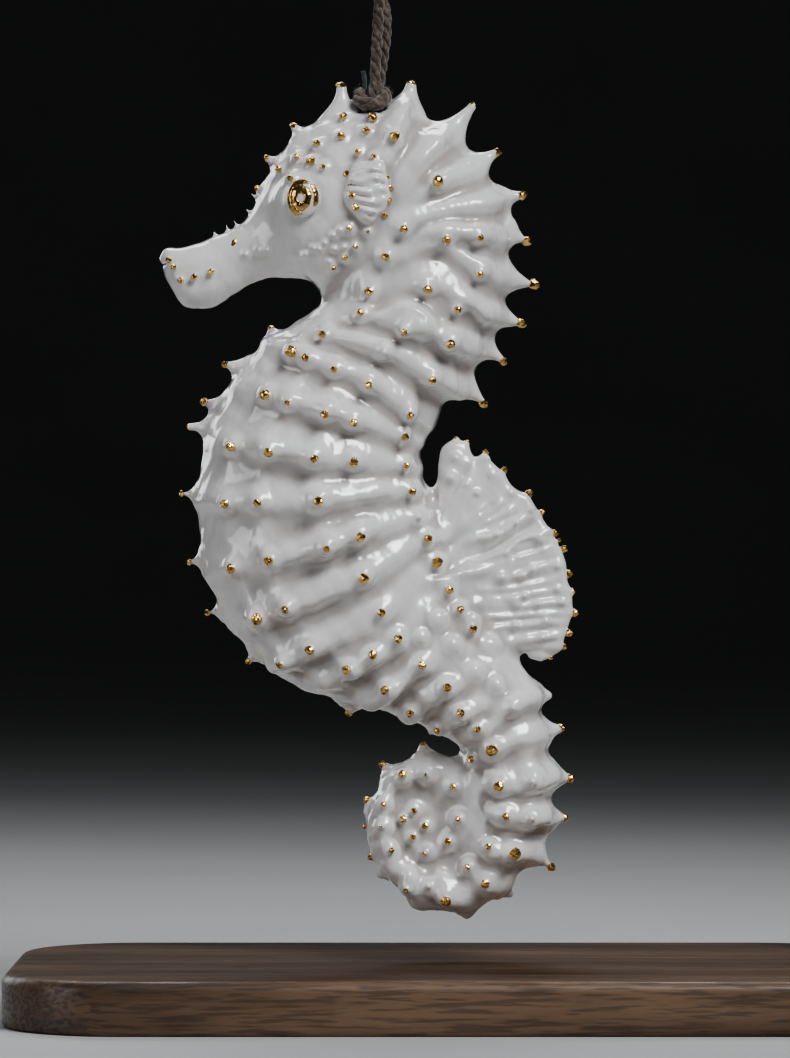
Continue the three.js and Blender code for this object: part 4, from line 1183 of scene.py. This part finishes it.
# Warts of the coil's face: angle round its centre, distance from it, width of the gold.
COIL_WARTS = [
    (113, 7.0, 0.75), (91, 6.4, 0.4), (59, 5.9, 0.6), (148, 5.7, 0.5), (123, 2.7, 0.6), (153, 3.0, 0.7),
    (108, 0.6, 0.65), (21, 3.8, 0.55), (174, 5.2, 0.4), (-155, 1.7, 0.6), (-27, 2.7, 0.65),
    (-151, 4.5, 0.5), (-96, 2.6, 0.45), (-14, 7.3, 0.6), (-41, 6.2, 0.5), (-109, 7.1, 0.5),
    (-75, 8.3, 0.95), (-42, 9.0, 0.85), (-88, 6.3, 0.0),
]
# Round lumps on the lower back, under the dorsal fin: x, z, radius.
BACK_LUMPS = [
    (-3.0, 77.7, 1.0), (-1.4, 45.0, 1.2), (0.3, 42.1, 1.2), (4.4, 42.2, 1.35), (2.8, 39.1, 1.35),
    (5.2, 37.6, 1.0), (2.6, 45.0, 1.0), (-3.4, 42.9, 0.9),
]
# Gold that left a lilac blush beside it: x, z.
BLUSHES = [(-9.5, 101.8), (-20.6, 96.4), (-20.4, 77.4), (-3.0, 18.4), (-27.6, 69.2)]


def add_wart(field, region, target, width, size):
    """Joins a wart whose tip the camera sees at a place (x, z) of the middle plane, with its gold."""
    centre = np.array((VIEW_CENTRE[0], VIEW_CENTRE[2]))
    start = np.array(target, float)
    for _ in range(AIM_STEPS):
        skin, normal = field.flank(*start)
        normal = unit(normal + WART_LEAN)
        top = skin + normal * size["height"]
        nearer = 1 + top[1] / VIEW_DISTANCE
        start += AIM_SHARE * (centre + (target - centre) * nearer - top[[0, 2]])
    add_spike(field, skin, top, size["foot"], size["tip"], size["blend"])
    if width:
        half_width, half_length = (share * width for share in WART_GOLD)
        gold.append((region, top + normal * size["tip"] * 0.4, normal, half_width, half_length))


def side_view(row, fraction):
    """The x and z of a place on the flank."""
    return left_skin(row, fraction)[0][[0, 2]]


def scaled(size, factor):
    return {key: value * factor for key, value in size.items()}


def add_warts(field):
    for row, fraction, width in flank_warts():
        factor = 0.8 + 0.25 * width if width else 0.9
        add_wart(field, region_of(row), side_view(row, fraction), width, scaled(WART, factor))
    for row, fraction, width in HEAD_DOTS:
        add_wart(field, "head", side_view(row, fraction), width, scaled(SMALL_WART, 0.7 + 0.5 * width))
    for row, fraction, width in SNOUT_DOTS:
        add_wart(field, "head", side_view(row, fraction), width, scaled(POINT, 0.8))
    for foot_x, foot_z, tip_x, tip_z in THORNS:
        foot, tip = mid_plane(foot_x, foot_z), mid_plane(tip_x, tip_z)
        add_spike(field, foot, tip, THORN["foot"], THORN["tip"], THORN["blend"])
    for place in WHITE_POINTS:
        add_wart(field, "head", np.array(place), 0.0, POINT)
    for degrees, radius, width in COIL_WARTS:
        add_wart(field, "coil", np.array(on_coil(degrees, radius)), width, scaled(SMALL_WART, 1.15))
    for x, z, radius in BACK_LUMPS:
        point, normal = field.flank(x, z)
        add_blob(field, point - 0.35 * radius * normal, (radius, radius, radius), 0.7)
    row, fraction, width = SHOULDER
    add_wart(field, "neck", side_view(row, fraction), width, SHOULDER_WART)
    for x, z, width in PECTORAL_GOLD:
        point, normal = field.flank(x, z)
        gold.append(("head", point + 0.08 * normal, normal, width * 0.52, width * 0.42))
    point, normal = field.flank(*NOSTRIL)
    upward = mid_plane(0.3, 1.0)
    along = unit(upward - normal * np.dot(upward, normal))
    gold.append(("head", point - 0.1 * normal, along, *NOSTRIL_GOLD))


# ----- Head: bar and slot for the cord, eye sockets, mouth -----

BAR = {"x": -8.9, "z": 103.3, "radius": 0.65, "half_length": 3.0}
SLOT = {"radius": 1.95, "half_length": 1.5}
EYE = {"x": -16.6, "z": 92.35, "half_width": 1.78, "half_height": 2.14, "rise": 0.95}
# The mound round the eye and the groove in it.
ORBIT = {"radius": 2.2, "groove": 0.3, "mound": (3.1, 2.0, 3.3), "sunk": 1.35}
MOUTH = {"x": -32.6, "z": 85.2, "rise": 0.28, "half_gap": 0.1, "half_depth": 0.9, "half_width": 1.6}


def bar_distance(at, radius, half_length):
    off = np.hypot(at[..., 1], at[..., 2] - BAR["z"]) - radius
    return np.maximum(off, np.abs(at[..., 0] - BAR["x"]) - half_length)


def add_bar(field):
    cut, at = field.window(mid_plane(BAR["x"], BAR["z"]), 5.0)
    field.carve(cut, bar_distance(at, SLOT["radius"], SLOT["half_length"]), 0.5)
    field.join(cut, bar_distance(at, BAR["radius"], BAR["half_length"]), 0.3)


def add_orbit(field):
    """A low mound under the eye, with a shallow groove round the eyeball."""
    point, normal = field.flank(EYE["x"], EYE["z"])
    add_blob(field, point - ORBIT["sunk"] * normal, ORBIT["mound"], 1.8)
    point, normal = field.flank(EYE["x"], EYE["z"])
    cut, at = field.window(point[None], ORBIT["radius"] + BAND)
    off = at - point
    along = off @ normal
    radial = np.hypot(off[..., 0] * 1.06, off[..., 2] * 0.94)
    field.carve(cut, np.hypot(radial - ORBIT["radius"], along - 0.05) - ORBIT["groove"], 0.6)
    return point, normal


def add_mouth(field):
    """A slit between the lips, as a box of a height, a depth and a width."""
    lips = mid_plane(MOUTH["x"], MOUTH["z"])
    inward = unit(mid_plane(1.0, MOUTH["rise"]))
    across = np.array((0.0, 1.0, 0.0))
    cut, at = field.window(lips[None], 2.6)
    off = at - lips
    gap = np.abs(off @ np.cross(inward, across)) - MOUTH["half_gap"]
    depth = np.abs(off @ inward) - MOUTH["half_depth"]
    width = np.abs(off @ across) - MOUTH["half_width"]
    field.carve(cut, np.maximum(np.maximum(gap, depth), width), 0.25)


# ----- The skin's surface -----

SMOOTHINGS = 3                          # rounds that even out the mesh and lay it back on the surface
# Wavelength and height of the modelling's unevenness.
RIPPLES = [(5.5, 0.1), (2.4, 0.05), (1.2, 0.012)]
HOLLOW_REACH = 1.5                      # how far the look for hollows averages, in square millimetres
HOLLOW_DEPTH = 0.13                     # the depth at which the pooled glaze and painted crease shade are fully toned
BLUSH_RADIUS = 0.8


def ripple(points, wavelength, random):
    """A smooth random height between about -1 and 1, the same on both sides."""
    mirrored = np.abs(points * (0, 1, 0)) + points * (1, 0, 1)
    total = np.zeros(len(points))
    for _ in range(10):
        direction = unit(random.normal(size=3)) * 2 * math.pi / wavelength * random.uniform(0.7, 1.4)
        total += np.sin(mirrored @ direction + random.uniform(0, 2 * math.pi))
    return total / 3.2


def neighbour_mean(quads, count):
    """A function that averages a quantity over each point's neighbours."""
    ends = np.vstack([quads[:, [0, 1]], quads[:, [1, 2]], quads[:, [2, 3]], quads[:, [3, 0]]])
    degree = np.maximum(np.bincount(ends[:, 0], minlength=count), 1)

    def mean(values):
        axes = range(values.shape[1])
        columns = [np.bincount(ends[:, 0], values[ends[:, 1], a], count) for a in axes]
        return np.stack(columns, 1) / degree[:, None]

    return mean


def store(piece, name, values):
    attribute = piece.data.attributes.new(name, "FLOAT", "POINT")
    attribute.data.foreach_set("value", np.asarray(values, np.float32))


def make_skin(field, random):
    points, quads = field.surface()
    whole = field.whole()
    mean = neighbour_mean(quads, len(points))
    for _ in range(SMOOTHINGS):
        points = points + 0.6 * (mean(points) - points)
        value, slope = sample(whole, field.low, points)
        points = points - slope * (value / np.maximum((slope ** 2).sum(1), 0.2))[:, None]
    points = points + 0.4 * (mean(points) - points)
    normals = unit(sample(whole, field.low, points)[1])
    # How sunken each point is: the mask that tones hollows as pooled glaze and painted shade.
    relaxed = points
    for _ in range(round(HOLLOW_REACH / VOXEL ** 2)):
        relaxed = mean(relaxed)
    glaze_pool_and_shade = np.clip(((relaxed - points) * normals).sum(1) / HOLLOW_DEPTH, 0, 1)
    for wavelength, height in RIPPLES:
        points = points + normals * (height * ripple(points, wavelength, random))[:, None]
    flankward = smoothstep(0.25, 0.6, np.abs(normals[:, 1]))
    points = points + normals * (fold_height(points) * flankward)[:, None]
    blush = np.zeros(len(points))
    for x, z in BLUSHES:
        blush += np.exp(-((points[:, 0] - x) ** 2 + (points[:, 2] - z) ** 2) / BLUSH_RADIUS ** 2)
    piece = fast_mesh("porcelain_skin", points, quads[:, ::-1], PORCELAIN)
    store(piece, "glaze_pool_and_shade", glaze_pool_and_shade)
    store(piece, "fume", np.clip(blush, 0, 1))
    return piece


def fast_mesh(name, points, quads, material):
    mesh = bpy.data.meshes.new(name)
    mesh.vertices.add(len(points))
    mesh.vertices.foreach_set("co", metres(points).ravel())
    mesh.loops.add(quads.size)
    mesh.loops.foreach_set("vertex_index", quads.ravel())
    mesh.polygons.add(len(quads))
    mesh.polygons.foreach_set("loop_start", np.arange(0, quads.size, 4))
    mesh.polygons.foreach_set("use_smooth", np.ones(len(quads), bool))
    mesh.materials.append(material)
    mesh.update(calc_edges=True)
    return add_object(name, mesh)


random = np.random.default_rng(SEED)
field = body_field()
add_outline_spines(field)
field.glaze(BODY_GLAZE)
add_dorsal_fin(field)
add_pectoral(field)
eye_place, eye_normal = add_orbit(field)
add_warts(field)
add_bar(field)
add_mouth(field)
cap_spines(field)
skin = make_skin(field, random)
on_body(skin, "porcelain", "snout", "head", "neck", "chest", "belly", "tail", "tail_coil_outer",
        "tail_coil_inner", "dorsal_fin", "pectoral_fin_left", "pectoral_fin_right")

# ----- Gold -----


NUGGET_UNEVENNESS = (-0.16, 0.14)


def nugget_shape():
    """Points and triangles of a ball of 80 facets."""
    ball = bmesh.new()
    bmesh.ops.create_icosphere(ball, subdivisions=2, radius=1.0)
    points = np.array([v.co[:] for v in ball.verts])
    faces = [tuple(v.index for v in face.verts) for face in ball.faces]
    ball.free()
    return points, faces


def make_gold(random):
    ball, facets = nugget_shape()
    regions = {}
    for region, centre, axis, half_width, half_length in gold:
        lumpy = ball * (1 + random.uniform(*NUGGET_UNEVENNESS, len(ball)))[:, None]
        side = unit(np.cross(axis, (0.2, 0.9, 0.3)))
        basis = np.stack([side, np.cross(axis, side), axis])
        points = centre + (lumpy * (half_width, half_width, half_length)) @ basis
        regions.setdefault(region, []).append((points, facets))
        if abs(centre[1]) > 0.3:
            regions[region].append((points * (1, -1, 1), [face[::-1] for face in facets]))
    for region, parts in regions.items():
        on_body(mesh_piece("gold_" + region, *joined(parts), GOLD, smooth=False), "gold_lustre")


make_gold(random)

# ----- Eyes -----

# Rings of gold round the pupil: middle radius as a share of the eye, half width, first and last degree.
EYE_RINGS = [(0.45, 0.235, 0, 360), (0.87, 0.15, -32, 55), (0.86, 0.175, 63, 268)]
EYE_OFFSET = (-0.14, -0.05)             # the inner ring was dabbed off centre


def eye_point(radius, angle, lift, offset=(0.0, 0.0)):
    """A point over the eye's dome, in the eye's own directions."""
    across = radius * math.cos(angle) * EYE["half_width"] + offset[0]
    up = radius * math.sin(angle) * EYE["half_height"] + offset[1]
    share = min(math.hypot(across / EYE["half_width"], up / EYE["half_height"]), 1.0)
    out = EYE["rise"] * math.sqrt(1 - 0.92 * share ** 2) + lift
    side = unit(np.cross(eye_normal, (0, 0, 1)))
    if side[0] < 0:
        side = -side
    top = unit(np.cross(side, eye_normal))
    if top[2] < 0:
        top = -top
    return eye_place + across * side + up * top + out * eye_normal


def eyeball():
    rings, sides = 18, 56
    points = []
    for r in range(1, rings + 1):
        for s in range(sides):
            points.append(eye_point(r / rings, 2 * math.pi * s / sides, 0.0))
    for s in range(sides):
        points.append(eye_point(1.0, 2 * math.pi * s / sides, -1.2))
    faces = [tuple(q) for q in grid_quads(rings + 1, sides, True)]
    points += [eye_point(0.0, 0.0, 0.0), eye_point(0.0, 0.0, -2.0)]
    for s in range(sides):
        nxt = (s + 1) % sides
        faces.append((nxt, s, len(points) - 2))
        faces.append((rings * sides + s, rings * sides + nxt, len(points) - 1))
    return points, faces


def eye_ring(radius, half_width, first, last, random):
    """A flat bead of gold that lies on the dome; a full turn closes on itself."""
    closed = last - first == 360
    steps = max(8, int((last - first) / 6))
    angles = np.radians(np.linspace(first, last, steps, endpoint=not closed))
    wobble = random.uniform(0.85, 1.15, (2, steps))
    offset = EYE_OFFSET if closed else (0.0, 0.0)
    sides = 8
    points = []
    for step, angle in enumerate(angles):
        end = 1.0 if closed else min(1.0, 0.25 + 1.5 * min(step, steps - 1 - step) / steps * 4)
        for s in range(sides):
            turn = 2 * math.pi * s / sides
            wide = half_width * wobble[0 if math.cos(turn) > 0 else 1, step] * end
            lift = 0.02 + 0.09 * math.sin(turn)
            points.append(eye_point(radius + wide * math.cos(turn), angle, lift, offset))
    if closed:
        round_twice = grid_quads(steps + 1, sides, True) % (steps * sides)
        return points, [tuple(q) for q in round_twice]
    return points, capped(steps, sides)


def make_eyes(random):
    ball = eyeball()
    rings = joined([eye_ring(*ring, random) for ring in EYE_RINGS])
    for name, side in (("left", 1), ("right", -1)):
        flip = (1, side, 1)
        for (points, faces), title, material, slot, *nodes in (
                (ball, "eyeball_", PORCELAIN, "porcelain"),
                (rings, "eye_gold_", GOLD, "gold_lustre", "eye_" + name)):
            faces = [face[::side] for face in faces]
            on_body(mesh_piece(title + name, np.array(points) * flip, faces, material), slot, *nodes)


make_eyes(random)

# ----- Stand -----

FOOT = {"half_x": 50, "half_y": 28, "height": 6, "corner": 14}
# Profile of the foot's edge: inset and height.
FOOT_EDGE = [
    (1.6, 0), (0.5, 0), (0.2, 0.12), (0.03, 0.4), (0, 0.8), (0, 4.75), (0.06, 5.15), (0.25, 5.5),
    (0.55, 5.8), (0.95, 5.95), (1.35, 6.0), (2.2, 6.0),
]
POST = (44.2, 18.0)
HOOK = (-8.0, 0.0)
ROD_RADIUS = 2.0
# The rod's middle line: share of the way from the post to the hook, and height.
ROD_ROUTE = [
    (0, 2.3), (0, 45), (0, 85), (0, 107), (0.02, 115.6), (0.1, 121.8), (0.26, 125.4), (0.5, 126.4),
    (0.72, 125.2), (0.86, 122.4), (0.94, 120.3), (1, 119.5), (1.06, 120.3), (1.105, 122.6),
    (1.125, 125.6),
]
# The collar's closed section: radius and height above the foot.
COLLAR = [
    (2.05, 0.0), (3.35, 0.0), (3.52, 0.06), (3.6, 0.25), (3.6, 1.6), (3.52, 1.9), (3.3, 2.15),
    (2.9, 2.7), (2.75, 2.95), (2.6, 3.12), (2.35, 3.2), (2.05, 3.2),
]


CORNER_STEPS = 24


def foot_ring(inset, height):
    flat_x = FOOT["half_x"] - FOOT["corner"]
    flat_y = FOOT["half_y"] - FOOT["corner"]
    radius = FOOT["corner"] - inset
    points = []
    for corner, (sx, sy) in enumerate(((1, 1), (-1, 1), (-1, -1), (1, -1))):
        for step in range(CORNER_STEPS + 1):
            angle = math.pi / 2 * (corner + step / CORNER_STEPS)
            x = sx * flat_x + radius * math.cos(angle)
            y = sy * flat_y + radius * math.sin(angle)
            points.append((x, y, height))
    return points


def make_foot():
    rings = [foot_ring(inset, height) for inset, height in FOOT_EDGE]
    points = [point for ring in rings for point in ring]
    faces = capped(len(rings), len(rings[0]))
    on_body(mesh_piece("foot_walnut", points, faces, WALNUT), "stand_wood", "stand_foot")


def make_collar():
    sides = 64
    points = turned(COLLAR, sides, POST, FOOT["height"] + 0.05)
    round_twice = grid_quads(len(COLLAR) + 1, sides, True) % (len(COLLAR) * sides)
    faces = [tuple(q) for q in round_twice]
    on_body(mesh_piece("collar_steel", points, faces, STEEL), "stand_steel", "stand_collar")


def make_rod():
    route = [
        (POST[0] + (HOOK[0] - POST[0]) * share, POST[1] + (HOOK[1] - POST[1]) * share, height)
        for share, height in ROD_ROUTE
    ]
    path = spline(route, 420)
    left = np.linalg.norm(path - path[-1], axis=1)
    radii = ROD_RADIUS * np.sqrt(np.clip(1 - np.maximum(1 - left / 1.2, 0) ** 2, 0.01, 1))
    on_body(mesh_piece("rod_steel", *tube_mesh(path, radii, 40), STEEL), "stand_steel", "stand_rod")


make_foot()
make_collar()
make_rod()

# ----- Stage -----


LIT_PLACE = (-6, 0, 60)            # what the lights are aimed at
# Name, place, size, power in watts, spread in degrees, colour.
LIGHTS = [
    ("key", (310, -400, 580), (360, 300), 0.41, 50, (0.94, 0.97, 1.0)),
    ("key_edge", (330, -425, 615), (620, 520), 0.23, 70, (0.93, 0.965, 1.0)),
    ("side", (-620, -330, 240), (340, 460), 0.2, 70, (0.94, 0.95, 1.0)),
    ("rim", (-60, 420, 620), (500, 260), 0.26, 70, (0.96, 0.98, 1.0)),
    ("back", (-430, 520, 250), (320, 420), 0.16, 70, (0.95, 0.97, 1.0)),
]
ROOM_LIGHT = 0.04
FLOOR = {"flat": 1500, "bend": 900, "wall": 2600, "steps": 12, "sides": 72}


def bowl():
    """A pale floor that curves up into a wall all round."""
    flat, bend, sides = FLOOR["flat"], FLOOR["bend"], FLOOR["sides"]
    profile = [(400, 0), (900, 0), (flat, 0)]
    for step in range(1, FLOOR["steps"] + 1):
        a = math.pi / 2 * step / FLOOR["steps"]
        profile.append((flat + bend * math.sin(a), bend * (1 - math.cos(a))))
    profile.append((flat + bend, FLOOR["wall"]))
    faces = [tuple(q) for q in grid_quads(len(profile), sides, True)] + [tuple(range(sides))[::-1]]
    mesh_piece("floor", turned(profile, sides), faces, floor_material())


def softbox(name, place, size, power, spread, colour):
    data = bpy.data.lights.new(name, "AREA")
    data.shape = "RECTANGLE"
    data.size, data.size_y = metres(size)
    data.energy = power
    data.spread = math.radians(spread)
    data.color = colour
    light = add_object(name, data)
    light.location = metres(place)
    light.rotation_euler = Vector(metres(LIT_PLACE) - metres(place)).to_track_quat("-Z", "Y").to_euler()
    light.visible_camera = False


def world(strength):
    made = bpy.data.worlds.new("room")
    made.use_nodes = True
    background = made.node_tree.nodes["Background"]
    background.inputs["Color"].default_value = (0.93, 0.96, 1.0, 1)
    background.inputs["Strength"].default_value = strength
    bpy.context.scene.world = made


bowl()
for light in LIGHTS:
    softbox(*light)
world(ROOM_LIGHT)
bpy.context.scene.view_settings.view_transform = "AgX"
bpy.context.scene.view_settings.look = "AgX - Medium High Contrast"
